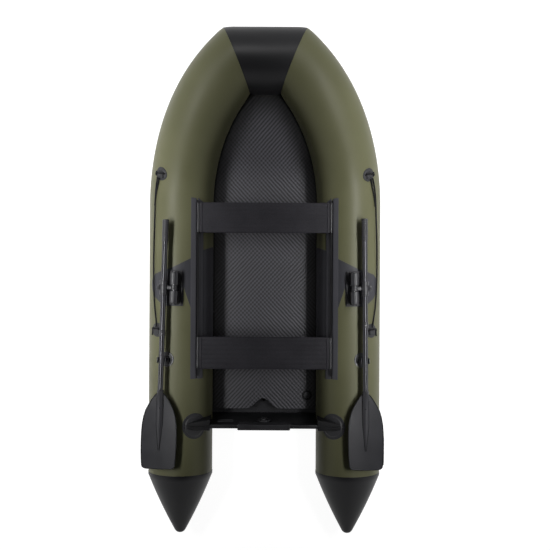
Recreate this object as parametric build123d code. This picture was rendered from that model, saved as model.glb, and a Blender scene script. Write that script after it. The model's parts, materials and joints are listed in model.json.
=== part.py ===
from build123d import *
import math
import os

# Inflatable boat with a transom. Millimetres, +Y to the bow, +X to starboard, +Z up.
# The origin is under the middle of the boat's box, at the level of the floor it stands on.
os.makedirs("parts", exist_ok=True)

# Buoyancy tubes
TUBE_R = 205
TUBE_X = 540
BOW_Y = 1395
BOW_RISE = 250
BOW_TURN = 45
BOW_ARC_R = 1229
ARC_Y = BOW_Y - BOW_ARC_R * math.cos(math.radians(BOW_TURN))
ARC_X = TUBE_X - BOW_ARC_R
SHEER_Y = 560
CONE_Y = -1216
STERN_Y = -1600
CONE_TIP_R = 40
CONE_BULGE = 7
PANEL_ENDS = [500, 810, 1110]
GAP = 0.3

# Bottom and air floor, measured down and in from the tubes' axes
FLOOR_TOP = -85
FLOOR_THICK = 65
FLOOR_IN = 176
FLOOR_AFT = -809
FLOOR_FRONT = 1235
NOTCH_WIDE = 210
NOTCH_DEEP = 65
CHINE_DOWN = 157
CHINE_IN = 120
KEEL_Z = 10
KEEL_BEND_Y = 200
KEEL_BOW_Z = 262
BOW_STEPS = 12
BOTTOM_AFT = -850
BOTTOM_FRONT = 1330
STRAKE_WIDE = 60
STRAKE_THICK = 5

# Transom
TRANSOM_Y = -884
TRANSOM_TOP = 400
TRANSOM_FOOT = 62
TRANSOM_THICK = 24
TRANSOM_RAKE = 5
TRANSOM_HALF = 440
MOTOR_PAD_WIDE = 330
MOTOR_PAD_TALL = 190
MOTOR_PAD_THICK = 10
MOTOR_LIP_TALL = 62
MOTOR_LIP_THICK = 5
HOLDER_LEAN = -31
HOLDER_R = 81
HOLDER_FOOT_R = 60
HOLDER_WEB = [(330, -42), (470, -30), (505, 0), (470, 30), (330, 66)]

# Seats and their rails
SEAT_TOP = 393
SEAT_THICK = 25
SEAT_HALF = 406
SEATS = {"front": (332, 523), "rear": (-524, -321)}
RAIL_FROM, RAIL_TO = -587, 555
RAIL_LEAN_OUT, RAIL_LEAN_IN = 22, 47
BEAD_X = 418
BEAD_LIFT = 12.5
BEAD_R = 3.5
SLIDE_R = 7

# Oarlocks and oars
PIVOT_Y = -14
HINGE_X = 560
HINGE_Z = 462
OAR_ARM = 64
AXLE_R = 6
PIN_R = 8
FIT = 0.08
HUB_R = 22
HUB_LONG = 34
LOCK_LONG = 216
LOCK_WIDE = 92
SLEEVE_R = 25
SLEEVE_LONG = 88
SHAFT_R = 17
GRIP_R = 20
GRIP_LONG = 136
BLADE_LONG = 490
BLADE_HALF = 109
BLADE_FOOT = -1141
OARS = {"port": (-1, 1.5, 408), "starboard": (1, 0.6, 420)}
CLIP_Y = -463
CLIP_X = 610
CLIP_R = 47
CLIP_HALF = 26
CLIP_BORE_R = 20
CLIP_LONG = 34

# Grab lines: holders and route as (y, degrees outboard of the tube's top)
ROPE_R = 5
ROPE_LIFT = 7.5
ROPE_HOLDERS = [(722, 36), (-281, 41)]
ROPE_ROUTE = [
    (706, 43), (640, 47.5), (560, 50), (468, 51.5), (372, 53.5), (270, 55.2), (168, 56), (66, 55.8),
    (-30, 54.5), (-110, 52), (-178, 48), (-236, 43.5), (-262, 42),
]

# Chafe patch under the oarlock, seen from above
PATCH_OUTLINE = [
    (330, 248), (387, 224), (460, 172), (540, 131), (590, 107), (650, 88), (690, 72), (709, 45), (715, 5),
    (709, -38), (690, -76), (658, -106), (618, -128), (509, -128), (505, -12), (388, -362), (330, -380),
]

# Fittings
HANDLE_FROM, HANDLE_TO = -1185, -939
HANDLE_PAD_LONG = 56
HANDLE_OFF = 26
FLOOR_VALVE = (280, -720)
DRAIN_Z = 280
PLATE_X = 245
TUBE_VALVE_Y = -420
TOW_LEAN = 15
TOW_PATCH_R = 60
TOW_BAR_LIFT = 16
TOW_ROD_R = 4
TOW_RING_HALF = 32
TOW_RING_LONG = 52


def sheer(y):
    """Height of the tube's axis."""
    rise = min(max((y - SHEER_Y) / (BOW_Y - SHEER_Y), 0), 1)
    return TUBE_R + BOW_RISE * (1 - math.cos(math.pi * rise)) / 2


def drawn_in(y, inward):
    """Distance from the middle to the tube's axis line, drawn in by inward."""
    return ARC_X + math.sqrt((BOW_ARC_R - inward) ** 2 - max(y - ARC_Y, 0) ** 2)


def tube_centre(y):
    return Vector(drawn_in(y, 0), y, sheer(y))


def on_tube(y, lean, lift=0.0):
    """Plane that touches the starboard tube, lean degrees outboard of its top."""
    here = tube_centre(y)
    along = (tube_centre(y + 1) - here).normalized()
    out = Vector(along.Y, -along.X, 0).normalized()
    up = out.cross(along)
    lean = math.radians(lean)
    normal = out * math.sin(lean) + up * math.cos(lean)
    return Plane(here + normal * (TUBE_R + lift), x_dir=along, z_dir=normal)


def tube_body(radius):
    """Starboard tube as one solid, run on past the bow mitre."""
    from_y = SHEER_Y - 60
    bend = [tube_centre(from_y + i * (BOW_Y - from_y) / 7) for i in range(8)]
    turn = math.radians(BOW_TURN)
    ahead = Vector(-math.cos(turn), math.sin(turn), 0)
    start = tube_centre(CONE_Y)
    path = Wire([
        Edge.make_line(start, bend[0]),
        Edge.make_spline(bend, tangents=[Vector(0, 1, 0), ahead]),
        Edge.make_line(bend[-1], bend[-1] + ahead * 150),
    ])
    return sweep(Plane(start, z_dir=(0, 1, 0)) * Circle(radius), path=path)


def mitre_plane():
    """Where the starboard tube meets the bow tube; its normal points aft and outboard."""
    half = math.radians(BOW_TURN / 2)
    return Plane(tube_centre(BOW_Y), z_dir=(math.cos(half), -math.sin(half), 0))


def box_between(low, high):
    size = [b - a for a, b in zip(low, high)]
    middle = [(a + b) / 2 for a, b in zip(low, high)]
    return Pos(*middle) * Box(*size)


def write(shape, name):
    export_step(shape, f"parts/{name}.step")
    print(f"{name}: {len(shape.solids())} solids, {shape.volume / 1000:.1f} cm3")


def write_pair(shape, name):
    write(shape, f"{name}_starboard")
    write(shape.mirror(Plane.YZ), f"{name}_port")


def side_tube():
    """Straight panel and the bent ones ahead of it, welded edge to edge."""
    rest = tube_body(TUBE_R) - mitre_plane().offset(-400) * Box(1600, 1600, 800)
    panels = []
    for y in PANEL_ENDS:
        along = (tube_centre(y + 1) - tube_centre(y)).normalized()
        ahead = Plane(tube_centre(y), z_dir=along).offset(1500) * Box(3000, 3000, 3000)
        panels.append((rest - ahead).solid())
        rest = rest & ahead
    return Compound([*panels, rest.solid()])


def bow_tube(radius=TUBE_R):
    body = Pos(0, BOW_Y, sheer(BOW_Y)) * Rot(0, 90, 0) * Cylinder(radius, 1400)
    beyond = mitre_plane().offset(400) * Box(1600, 1600, 800)
    return body - beyond - beyond.mirror(Plane.YZ)


def stern_cone():
    """Turned about the tube's axis, a little full, with a round tip."""
    far = CONE_Y - STERN_Y - CONE_TIP_R
    slope = math.atan((TUBE_R - CONE_TIP_R) / far)
    touch = (CONE_TIP_R * math.cos(slope), far + CONE_TIP_R * math.sin(slope))
    middle = ((TUBE_R + touch[0]) / 2 + CONE_BULGE, touch[1] / 2)
    round_off = (CONE_TIP_R * math.cos(1.1), far + CONE_TIP_R * math.sin(1.1))
    edges = ThreePointArc((TUBE_R, 0), middle, touch)
    edges += ThreePointArc(touch, round_off, (0, far + CONE_TIP_R))
    edges += Polyline((0, far + CONE_TIP_R), (0, 0), (TUBE_R, 0))
    # the sketch's y runs aft
    lathe = Plane((TUBE_X, CONE_Y, TUBE_R), x_dir=(1, 0, 0), z_dir=(0, 0, -1))
    return revolve(lathe * make_face(edges), Axis((TUBE_X, CONE_Y, TUBE_R), (0, 1, 0)))


def stations(aft, front):
    """Places for lofted sections: none where the boat is straight, close at the bow."""
    return [aft] + [KEEL_BEND_Y + i * (front - KEEL_BEND_Y) / BOW_STEPS for i in range(BOW_STEPS + 1)]


def air_floor():
    """Drop-stitched floor that follows the tubes up at the bow."""
    sections = []
    for y in stations(FLOOR_AFT, FLOOR_FRONT):
        middle = sheer(y) + FLOOR_TOP - FLOOR_THICK / 2
        outline = RectangleRounded(2 * drawn_in(y, FLOOR_IN), FLOOR_THICK, FLOOR_THICK / 2 - 1)
        sections.append(Plane((0, y, middle), x_dir=(1, 0, 0), z_dir=(0, -1, 0)) * outline)
    body = loft(sections, ruled=True)
    half = NOTCH_WIDE / 2
    notch = make_face(Polyline(
        (-half, FLOOR_AFT - 1), (half, FLOOR_AFT - 1), (half * 0.35, FLOOR_AFT + NOTCH_DEEP * 0.8),
        (-half * 0.35, FLOOR_AFT + NOTCH_DEEP * 0.8), (-half, FLOOR_AFT - 1)
    ))
    return body - extrude(notch, amount=TUBE_R)


def keel(y):
    ahead = max(y - KEEL_BEND_Y, 0) / (BOTTOM_FRONT - KEEL_BEND_Y)
    return KEEL_Z + (KEEL_BOW_Z - KEEL_Z) * ahead**2


def vee_bottom():
    """Shallow vee between the tubes, under the air floor."""
    sections = []
    for y in stations(BOTTOM_AFT, BOTTOM_FRONT):
        half = drawn_in(y, CHINE_IN)
        top = sheer(y) + FLOOR_TOP - FLOOR_THICK - GAP
        chine = sheer(y) - CHINE_DOWN
        outline = make_face(Polyline(
            (-half, top), (half, top), (half, chine), (0, keel(y)), (-half, chine), (-half, top)
        ))
        sections.append(Plane((0, y, 0), x_dir=(1, 0, 0), z_dir=(0, -1, 0)) * outline)
    return loft(sections, ruled=True)


def keel_strake():
    """Rubbing strip that follows the keel."""
    sections = []
    for y in stations(BOTTOM_AFT, BOTTOM_FRONT)[:-1]:
        edge = STRAKE_WIDE / 2
        slope = (sheer(y) - CHINE_DOWN - keel(y)) / drawn_in(y, CHINE_IN)
        top = [(-edge, keel(y) + slope * edge), (0, keel(y)), (edge, keel(y) + slope * edge)]
        low = [(x, z - STRAKE_THICK) for x, z in reversed(top)]
        outline = make_face(Polyline(*top, *low, top[0]))
        sections.append(Plane((0, y, 0), x_dir=(1, 0, 0), z_dir=(0, -1, 0)) * outline)
    return loft(sections, ruled=True)


def transom_frame():
    """Plane on the board's middle: x to starboard, y up the board, z forward."""
    rake = math.radians(TRANSOM_RAKE)
    return Plane(
        (0, TRANSOM_Y, TRANSOM_TOP), x_dir=(-1, 0, 0), z_dir=(0, math.cos(rake), math.sin(rake))
    )


def transom():
    tall = (TRANSOM_TOP - TRANSOM_FOOT) / math.cos(math.radians(TRANSOM_RAKE))
    outline = Pos(0, -tall / 2) * Rectangle(2 * TRANSOM_HALF, tall)
    outline = fillet(outline.vertices().group_by(Axis.Y)[-1], 30)
    return extrude(transom_frame() * outline, amount=TRANSOM_THICK / 2, both=True)


def motor_plate():
    """Clamping plates on both faces of the board, joined over its top edge."""
    board = transom_frame()
    face = TRANSOM_THICK / 2 + GAP
    cap_thick = 3
    thick = 2 * face + MOTOR_PAD_THICK + MOTOR_LIP_THICK
    outer = Box(MOTOR_PAD_WIDE, MOTOR_PAD_TALL, MOTOR_PAD_THICK)
    outer = Pos(0, cap_thick - MOTOR_PAD_TALL / 2, -face - MOTOR_PAD_THICK / 2) * outer
    inner = Box(MOTOR_PAD_WIDE, MOTOR_LIP_TALL, MOTOR_LIP_THICK)
    inner = Pos(0, cap_thick - MOTOR_LIP_TALL / 2, face + MOTOR_LIP_THICK / 2) * inner
    cap = Box(MOTOR_PAD_WIDE, cap_thick, thick)
    cap = Pos(0, cap_thick / 2 + GAP, (MOTOR_LIP_THICK - MOTOR_PAD_THICK) / 2) * cap
    return board * (outer + inner + cap)


def ring_sector(lean_from, lean_to, low, high, aft, front):
    """Strip of the layer between two heights on the straight tube; leans inboard of its top."""
    inner, outer = TUBE_R + low, TUBE_R + high
    leans = [math.radians(lean) for lean in (lean_from, (lean_from + lean_to) / 2, lean_to)]
    near = [(-inner * math.sin(lean), inner * math.cos(lean)) for lean in leans]
    far = [(-outer * math.sin(lean), outer * math.cos(lean)) for lean in leans]
    edges = ThreePointArc(*near) + Line(near[2], far[2])
    edges += ThreePointArc(*reversed(far)) + Line(far[0], near[0])
    across = Plane((TUBE_X, front, TUBE_R), x_dir=(1, 0, 0), z_dir=(0, -1, 0))
    return extrude(across * make_face(edges), amount=front - aft)


def conform(tool, low, high):
    """What a tool keeps of the layer between two heights over the straight tube."""
    across = Plane((TUBE_X, 0, TUBE_R), z_dir=(0, 1, 0))
    ring = across * (Circle(TUBE_R + high) - Circle(TUBE_R + low))
    return extrude(ring, amount=1250, both=True) & tool


def transom_holder(board):
    """Round moulded patch on the tube, with a web that grips the end of the board."""
    middle = on_tube(TRANSOM_Y, HOLDER_LEAN)
    disc = conform(middle * Cylinder(HOLDER_R, 100), GAP, 5)
    foot = conform(middle * Cylinder(HOLDER_FOOT_R, 100), 4, 9)
    web = make_face(Pos(0, TRANSOM_Y) * Polyline(*HOLDER_WEB, HOLDER_WEB[0]))
    low, high = TUBE_R - 15, TRANSOM_TOP + 8
    web = Pos(0, 0, low) * extrude(web, amount=high - low)
    lid = Pos(TUBE_X - 100, 0, TUBE_R + 60) * Rot(90, 0, 0) * Cylinder(TUBE_R - 10, 2600)
    web = (web & lid) - straight_core(TUBE_R + 3)
    return disc + foot + web - board


def seat_rail():
    """Welted strip on the tube; the seats' slides run on its round bead."""
    strip = ring_sector(RAIL_LEAN_OUT, RAIL_LEAN_IN, 1.8, 3.6, RAIL_FROM, RAIL_TO)
    outline = make_face(Polyline(
        (380, RAIL_FROM - 5), (380, RAIL_TO - 30), (430, RAIL_TO + 5), (470, RAIL_TO + 5),
        (470, RAIL_FROM - 5), (380, RAIL_FROM - 5)
    ))
    strip = strip & extrude(outline, amount=600)
    x, z = bead_centre()
    bead = Pos(x, (RAIL_FROM + RAIL_TO) / 2, z) * Rot(90, 0, 0) * Cylinder(
        BEAD_R, RAIL_TO - RAIL_FROM - 40)
    lean = bead_lean()
    fin = ring_sector(lean - 0.3, lean + 0.3, 3, BEAD_LIFT, RAIL_FROM + 20, RAIL_TO - 20)
    return strip + fin + bead


def bead_lean():
    return math.degrees(math.asin((TUBE_X - BEAD_X) / (TUBE_R + BEAD_LIFT)))


def bead_centre():
    return BEAD_X, TUBE_R + (TUBE_R + BEAD_LIFT) * math.cos(math.radians(bead_lean()))


def seat(aft, front):
    board = box_between((-SEAT_HALF, aft, SEAT_TOP - SEAT_THICK), (SEAT_HALF, front, SEAT_TOP))
    return fillet(board.edges().filter_by(Axis.X), 6)


def seat_slides(aft, front):
    """Channels that wrap the rails' beads, with a plate on each end of the seat."""
    x, z = bead_centre()
    long = front - aft - 8
    middle = (aft + front) / 2
    lie = Rot(90, 0, 0)
    channel = Pos(x, middle, z) * lie * Cylinder(SLIDE_R, long)
    plate = box_between((SEAT_HALF, middle - long / 2, z - 5), (x, middle + long / 2, SEAT_TOP - 1))
    slot = Pos(x, middle, z) * Rot(0, -bead_lean(), 0) * Pos(0, 0, -10) * Box(4, long + 2, 20)
    one = channel + plate - slot - Pos(x, middle, z) * lie * Cylinder(BEAD_R + 0.35, long + 2)
    return Compound([one.solid(), one.solid().mirror(Plane.YZ)])


def side_patch():
    """Chafe patch saddled over the tube under the oarlock."""
    outline = make_face(Polyline(*PATCH_OUTLINE, PATCH_OUTLINE[0]))
    top = Pos(0, 0, TUBE_R) * extrude(outline, amount=260)
    return conform(top, GAP, 1.6)


def place_lock(side, shape, cutter=None):
    """Put a piece drawn about the oarlock's hinge (x outboard) on its side of the boat."""
    sign, yaw, _ = OARS[side]
    placed = Pos(HINGE_X, PIVOT_Y, HINGE_Z) * Rot(0, 0, yaw) * shape
    if cutter:
        placed -= cutter
    return placed if sign > 0 else placed.mirror(Plane.YZ)


def straight_core(radius):
    """Solid as thick as the straight tube and its layers, to cut pieces that sit on it."""
    return Pos(TUBE_X, 0, TUBE_R) * Rot(90, 0, 0) * Cylinder(radius, 2600)


def oarlock_base():
    """Moulded pad with two barrels and the axle that the yoke turns on."""
    pad = Pos(0, 0, -50) * Box(LOCK_WIDE, LOCK_LONG, 26)
    body = fillet(pad.edges().filter_by(Axis.Z), 14)
    barrel_long = (LOCK_LONG - HUB_LONG) / 2 - 10
    for way in (1, -1):
        y = way * (HUB_LONG / 2 + 1.5 + barrel_long / 2)
        body += Pos(0, y, 0) * Rot(90, 0, 0) * Cylinder(HUB_R + 4, barrel_long)
        body += Pos(0, y, -25) * Box(2 * HUB_R + 8, barrel_long, 50)
    return body + Rot(90, 0, 0) * Cylinder(AXLE_R, HUB_LONG + 20)


def yoke():
    """Hub on the axle, and the pin that carries the oar outboard of it."""
    reach = OAR_ARM - SLEEVE_R - 1
    neck = Pos((HUB_R - 4 + reach) / 2, 0, 0) * Box(reach - HUB_R + 4, 26, 22)
    pin = Pos((reach - 4 + OAR_ARM + SLEEVE_R + 16) / 2, 0, 0) * Rot(0, 90, 0) * Cylinder(
        PIN_R, OAR_ARM + SLEEVE_R + 20 - reach)
    hub = Rot(90, 0, 0) * Cylinder(HUB_R, HUB_LONG)
    return hub + neck + pin - Rot(90, 0, 0) * Cylinder(AXLE_R + FIT, HUB_LONG + 2)


def sleeve():
    body = Pos(OAR_ARM, 0, 0) * Rot(90, 0, 0) * Cylinder(SLEEVE_R, SLEEVE_LONG)
    body = fillet(body.edges(), 4)
    body -= Pos(OAR_ARM, 0, 0) * Rot(90, 0, 0) * Cylinder(SHAFT_R, SLEEVE_LONG + 2)
    return body - Pos(OAR_ARM, 0, 0) * Rot(0, 90, 0) * Cylinder(PIN_R, 80)


def knob():
    body = Pos(OAR_ARM + SLEEVE_R + 9, 0, 0) * Rot(0, 90, 0) * Cylinder(17, 16)
    return fillet(body.edges(), 4) - Pos(OAR_ARM + SLEEVE_R, 0, 0) * Rot(0, 90, 0) * Cylinder(PIN_R, 32)


def shaft(grip_end):
    front = grip_end - GRIP_LONG - PIVOT_Y
    aft = BLADE_FOOT + BLADE_LONG - PIVOT_Y
    body = Pos(OAR_ARM, (front + aft) / 2, 0) * Rot(90, 0, 0) * Cylinder(SHAFT_R, front - aft)
    return body - Pos(OAR_ARM, 0, 0) * Rot(0, 90, 0) * Cylinder(PIN_R, 80)


def grip(grip_end):
    middle = grip_end - GRIP_LONG / 2 - PIVOT_Y
    body = Pos(OAR_ARM, middle, 0) * Rot(90, 0, 0) * Cylinder(GRIP_R, GRIP_LONG)
    return fillet(body.edges(), 6)


def blade():
    """Shield-shaped plate with a socket that tapers into a rib."""
    top = BLADE_FOOT + BLADE_LONG - PIVOT_Y
    foot = BLADE_FOOT - PIVOT_Y
    socket_r, socket_long, rib_long = SHAFT_R + 3, 210, 160
    shoulder = top - socket_r
    side = Spline(
        (socket_r, shoulder), (88, shoulder - 105), (BLADE_HALF, shoulder - 240), (103, foot + 28)
    )
    corner = ThreePointArc((103, foot + 28), (94, foot + 9), (76, foot + 3))
    bottom = ThreePointArc((76, foot + 3), (0, foot), (-76, foot + 3))
    across = Line((-socket_r, shoulder), (socket_r, shoulder))
    mirrored = [side.mirror(Plane.YZ), corner.mirror(Plane.YZ)]
    plate = extrude(make_face([side, corner, bottom, across, *mirrored]), amount=3, both=True)
    socket = Pos(0, top - socket_long / 2, 0) * Rot(90, 0, 0) * Cylinder(socket_r, socket_long)
    rib = Rot(90, 0, 0) * Cone(socket_r, 3, rib_long)
    rib = Pos(0, top - socket_long - rib_long / 2, 0) * rib
    return Pos(OAR_ARM, 0, 0) * (plate + socket + rib)


def oar_clip(side):
    """Round patch with an open fork that holds the stowed shaft."""
    sign, yaw, _ = OARS[side]
    x = HINGE_X + OAR_ARM + (PIVOT_Y - CLIP_Y) * math.tan(math.radians(yaw))
    base = conform(Pos(CLIP_X, CLIP_Y, 400) * Cylinder(CLIP_R, 300), GAP, 5)
    bottom = HINGE_Z - 42
    fork = box_between(
        (x - CLIP_HALF, CLIP_Y - CLIP_LONG / 2, bottom),
        (x + CLIP_HALF, CLIP_Y + CLIP_LONG / 2, HINGE_Z + 6)
    )
    fork -= Pos(x, CLIP_Y, HINGE_Z) * Rot(90, 0, 0) * Cylinder(CLIP_BORE_R, 60)
    fork -= Pos(x, CLIP_Y, HINGE_Z + 20) * Box(2 * CLIP_BORE_R, 60, 40)
    stem = box_between(
        (CLIP_X - 14, CLIP_Y - CLIP_LONG / 2, 380), (x + 14, CLIP_Y + CLIP_LONG / 2, bottom + 12)
    )
    shape = base + (fork + stem - straight_core(TUBE_R + 4))
    return shape if sign > 0 else shape.mirror(Plane.YZ)


def rope_holders(tube_clear):
    """Round patches with a folded tab that the grab line is tied into."""
    pieces = []
    for y, lean in ROPE_HOLDERS:
        seat = on_tube(y, lean)
        disc = seat * Pos(0, 0, -4) * Cylinder(45, 16)
        tab = Box(44, 46, 18)
        tab = seat * Pos(0, -4, 5) * fillet(tab.edges().filter_by(Axis.Z), 6)
        pieces.append((disc + tab - tube_clear).solid())
    return Compound(pieces)


def grab_line():
    """Slack line between the rope holders, lying on the tube's shoulder."""
    points = []
    for y, lean in ROPE_ROUTE:
        points.append(on_tube(y, lean, ROPE_LIFT).origin)
    runs = [b - a for a, b in zip(points, points[1:])]
    radii = []
    for one, two in zip(runs, runs[1:]):
        turn = math.radians(one.get_angle(two))
        radii.append(0.45 * min(one.length, two.length) / math.tan(turn / 2))
    print("grab line radii", [round(r) for r in radii], "runs", [round(r.length) for r in runs])
    path = FilletPolyline(*points, radius=radii)
    line = sweep(Plane(path @ 0, z_dir=path % 0) * Circle(ROPE_R), path=path)
    print("grab line length", round(path.length, 1), "volume ratio",
          round(line.volume / (math.pi * ROPE_R**2 * path.length), 4))
    return line


def carry_handle():
    """Strap handle with a moulded end at each end, on the outer side near the stern."""
    side = TUBE_X + TUBE_R
    middle = (HANDLE_FROM + HANDLE_TO) / 2
    handle = Pos(side + HANDLE_OFF, middle, TUBE_R) * Box(12, HANDLE_TO - HANDLE_FROM - 20, 34)
    for y in (HANDLE_FROM + HANDLE_PAD_LONG / 2, HANDLE_TO - HANDLE_PAD_LONG / 2):
        handle += box_between(
            (side + 2, y - 14, TUBE_R - 17), (side + HANDLE_OFF + 4, y + 14, TUBE_R + 17)
        )
        handle += conform(Pos(side, y, TUBE_R) * Box(120, HANDLE_PAD_LONG, 90), GAP, 8)
    return handle


def bow_frame(lean):
    """Plane that touches the bow tube, lean degrees forward of straight down."""
    lean = math.radians(lean)
    normal = Vector(0, math.sin(lean), -math.cos(lean))
    return Plane(Vector(0, BOW_Y, sheer(BOW_Y)) + normal * TUBE_R, x_dir=(1, 0, 0), z_dir=normal)


def towing_patch(bow_clear):
    """Round moulded patch under the bow with two lugs that hold the ring's bar."""
    seat = bow_frame(TOW_LEAN)
    disc = seat * Pos(0, 0, -6) * Cylinder(TOW_PATCH_R, 18)
    for way in (1, -1):
        disc += seat * Pos(way * 12, 0, TOW_BAR_LIFT / 2) * Box(8, 24, TOW_BAR_LIFT + 16)
    bar = seat * Pos(0, 0, TOW_BAR_LIFT) * Rot(0, 90, 0) * Cylinder(TOW_ROD_R + FIT, 100)
    return disc - bar - bow_clear


def towing_ring():
    """Round bar bent to a ring that hangs from its straight side, held in the patch's lugs."""
    bar = bow_frame(TOW_LEAN).offset(TOW_BAR_LIFT).origin
    hanging = Plane(bar, x_dir=(1, 0, 0), z_dir=(0, -1, 0))
    outline = Pos(0, -TOW_RING_LONG / 2) * RectangleRounded(2 * TOW_RING_HALF, TOW_RING_LONG, 14)
    path = outline.wire()
    return hanging * sweep(Plane(path @ 0, z_dir=path % 0) * Circle(TOW_ROD_R), path=path)


def floor_valve():
    """Inflation valve's flange and cap, proud of the floor."""
    flange = Cylinder(32.5, 4, align=(Align.CENTER, Align.CENTER, Align.MIN))
    cap = Cylinder(20, 9, align=(Align.CENTER, Align.CENTER, Align.MIN))
    return Pos(*FLOOR_VALVE, TUBE_R + FLOOR_TOP) * (flange + cap)


def drain_valve():
    """Flange with a hinged cap's seat on the board's inner face."""
    face = transom_frame() * Pos(0, DRAIN_Z - TRANSOM_TOP, TRANSOM_THICK / 2)
    ring = Cylinder(46, 8, align=(Align.CENTER, Align.CENTER, Align.MIN))
    well = Pos(0, 0, 3) * Cylinder(30, 8, align=(Align.CENTER, Align.CENTER, Align.MIN))
    boss = Cylinder(14, 7, align=(Align.CENTER, Align.CENTER, Align.MIN))
    return face * (ring - well + boss)


def name_plate():
    face = transom_frame() * Pos(PLATE_X, DRAIN_Z - TRANSOM_TOP + 15, TRANSOM_THICK / 2 + 1)
    return face * Box(100, 50, 2)


def tube_valves():
    """Flush valves of the side chambers, low on the tubes' inner sides."""
    valve = on_tube(TUBE_VALVE_Y, -72) * Pos(0, 0, -3) * Cylinder(30, 14) - straight_core(TUBE_R + GAP)
    return Compound([valve.solid(), valve.solid().mirror(Plane.YZ)])


def main():
    clear = tube_body(TUBE_R + GAP)
    clear_port = clear.mirror(Plane.YZ)
    bow_clear = bow_tube(TUBE_R + GAP)
    write_pair(side_tube(), "tube")
    write(bow_tube(), "bow_tube")
    write_pair(stern_cone(), "stern_cone")
    floor = air_floor() - clear - clear_port - bow_clear
    write(floor, "air_floor")
    vee = vee_bottom() - clear - clear_port - bow_clear - floor
    write(vee, "vee_bottom")
    write(keel_strake() - vee, "keel_strake")
    board = transom() - clear - clear_port
    write(board, "transom")
    write(motor_plate(), "motor_plate")
    write_pair(transom_holder(board), "transom_holder")
    write_pair(seat_rail(), "seat_rail")
    for name, (aft, front) in SEATS.items():
        write(seat(aft, front), f"seat_{name}")
        write(seat_slides(aft, front), f"seat_{name}_slides")
    write_pair(side_patch(), "side_patch")
    for side, (_, _, grip_end) in OARS.items():
        write(place_lock(side, oarlock_base(), straight_core(TUBE_R + 1.8)), f"oarlock_base_{side}")
        write(place_lock(side, yoke()), f"oarlock_yoke_{side}")
        write(place_lock(side, sleeve()), f"oar_sleeve_{side}")
        write(place_lock(side, knob()), f"oar_knob_{side}")
        write(place_lock(side, shaft(grip_end)), f"oar_shaft_{side}")
        write(place_lock(side, grip(grip_end)), f"oar_grip_{side}")
        write(place_lock(side, blade()), f"oar_blade_{side}")
        write(oar_clip(side), f"oar_clip_{side}")
    write(floor_valve(), "floor_valve")
    write(drain_valve(), "drain_valve")
    write(name_plate(), "name_plate")
    write(tube_valves(), "tube_valves")
    write(towing_patch(bow_clear), "towing_patch")
    write(towing_ring(), "towing_ring")
    write_pair(rope_holders(clear), "rope_holders")
    write_pair(grab_line(), "grab_line")
    write_pair(carry_handle(), "carry_handle")


main()
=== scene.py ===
import json
import bmesh
import bpy
from math import asin, atan, atan2, copysign, cos, degrees, pi, radians, sin, sqrt, tan
from mathutils import Matrix, Vector, noise


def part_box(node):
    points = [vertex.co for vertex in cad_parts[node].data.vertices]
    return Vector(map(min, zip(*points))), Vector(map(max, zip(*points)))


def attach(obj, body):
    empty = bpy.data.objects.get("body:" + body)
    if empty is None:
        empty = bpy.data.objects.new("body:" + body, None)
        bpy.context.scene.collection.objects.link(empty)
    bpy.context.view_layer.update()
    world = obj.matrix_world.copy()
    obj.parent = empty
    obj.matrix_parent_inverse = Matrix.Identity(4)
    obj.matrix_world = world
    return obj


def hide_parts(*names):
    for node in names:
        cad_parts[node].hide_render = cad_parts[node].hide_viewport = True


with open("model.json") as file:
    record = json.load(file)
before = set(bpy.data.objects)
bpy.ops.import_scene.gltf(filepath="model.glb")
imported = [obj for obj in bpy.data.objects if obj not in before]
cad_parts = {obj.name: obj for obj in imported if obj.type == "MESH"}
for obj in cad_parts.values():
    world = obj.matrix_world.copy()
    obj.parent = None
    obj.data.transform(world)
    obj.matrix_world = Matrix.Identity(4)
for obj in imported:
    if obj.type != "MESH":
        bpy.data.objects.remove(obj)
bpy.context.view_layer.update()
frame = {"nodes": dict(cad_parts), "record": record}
print("frame loaded:", len(frame["nodes"]), "nodes")

sides = {"port": -1, "starboard": 1}
seatNames = ("front", "rear")

# lines of the inflated hull, in metres and degrees
hull = {
    "radius": 0.205,
    "axisX": 0.540,
    "axisZ": 0.205,
    "coneY": -1.216,
    "sternY": -1.600,
    "bowY": 1.395,
    "bowRise": 0.250,
    "sheerY": 0.560,      # the upsweep starts here
    "bendR": 1.229,       # plan radius of the bend at the bow
    "bendTurn": 45,
    "bendY": 0.526,
    "bendX": -0.689,
}


def sheerAt(y):
    rise = clamp((y - hull["sheerY"]) / (hull["bowY"] - hull["sheerY"]))
    return hull["axisZ"] + hull["bowRise"] * (1 - cos(pi * rise)) / 2


# how far the tube's axis, or a line inward of it, is from the middle
def drawnIn(y, inward=0.0):
    return hull["bendX"] + sqrt((hull["bendR"] - inward) ** 2 - max(y - hull["bendY"], 0) ** 2)


def tubeCentre(y):
    return Vector((drawnIn(y), y, sheerAt(y)))


# point on the starboard tube, lean radians outboard of its top, and the axes there
def onTube(y, lean, lift=0.0):
    here = tubeCentre(y)
    along = (tubeCentre(y + 0.001) - here).normalized()
    out = Vector((along.y, -along.x, 0)).normalized()
    normal = out * sin(lean) + out.cross(along) * cos(lean)
    return here + normal * (hull["radius"] + lift), along, normal


# height of the straight tube's upper surface, lift off it, at x
def topAt(x, lift=0.0):
    reach = hull["radius"] + lift
    return hull["axisZ"] + sqrt(max(reach ** 2 - (x - hull["axisX"]) ** 2, 0))


def axesMatrix(place, x, y, z):
    matrix = Matrix((x, y, z)).transposed().to_4x4()
    matrix.translation = place
    return matrix


# x, y and z of frames that face along a world axis
axes = {"x": ((0, 1, 0), (0, 0, 1), (1, 0, 0)), "y": ((0, 0, 1), (1, 0, 0), (0, 1, 0)),
        "-y": ((1, 0, 0), (0, 0, 1), (0, -1, 0)), "-z": ((-1, 0, 0), (0, 1, 0), (0, 0, -1)),
        "z": ((1, 0, 0), (0, 1, 0), (0, 0, 1))}


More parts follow.
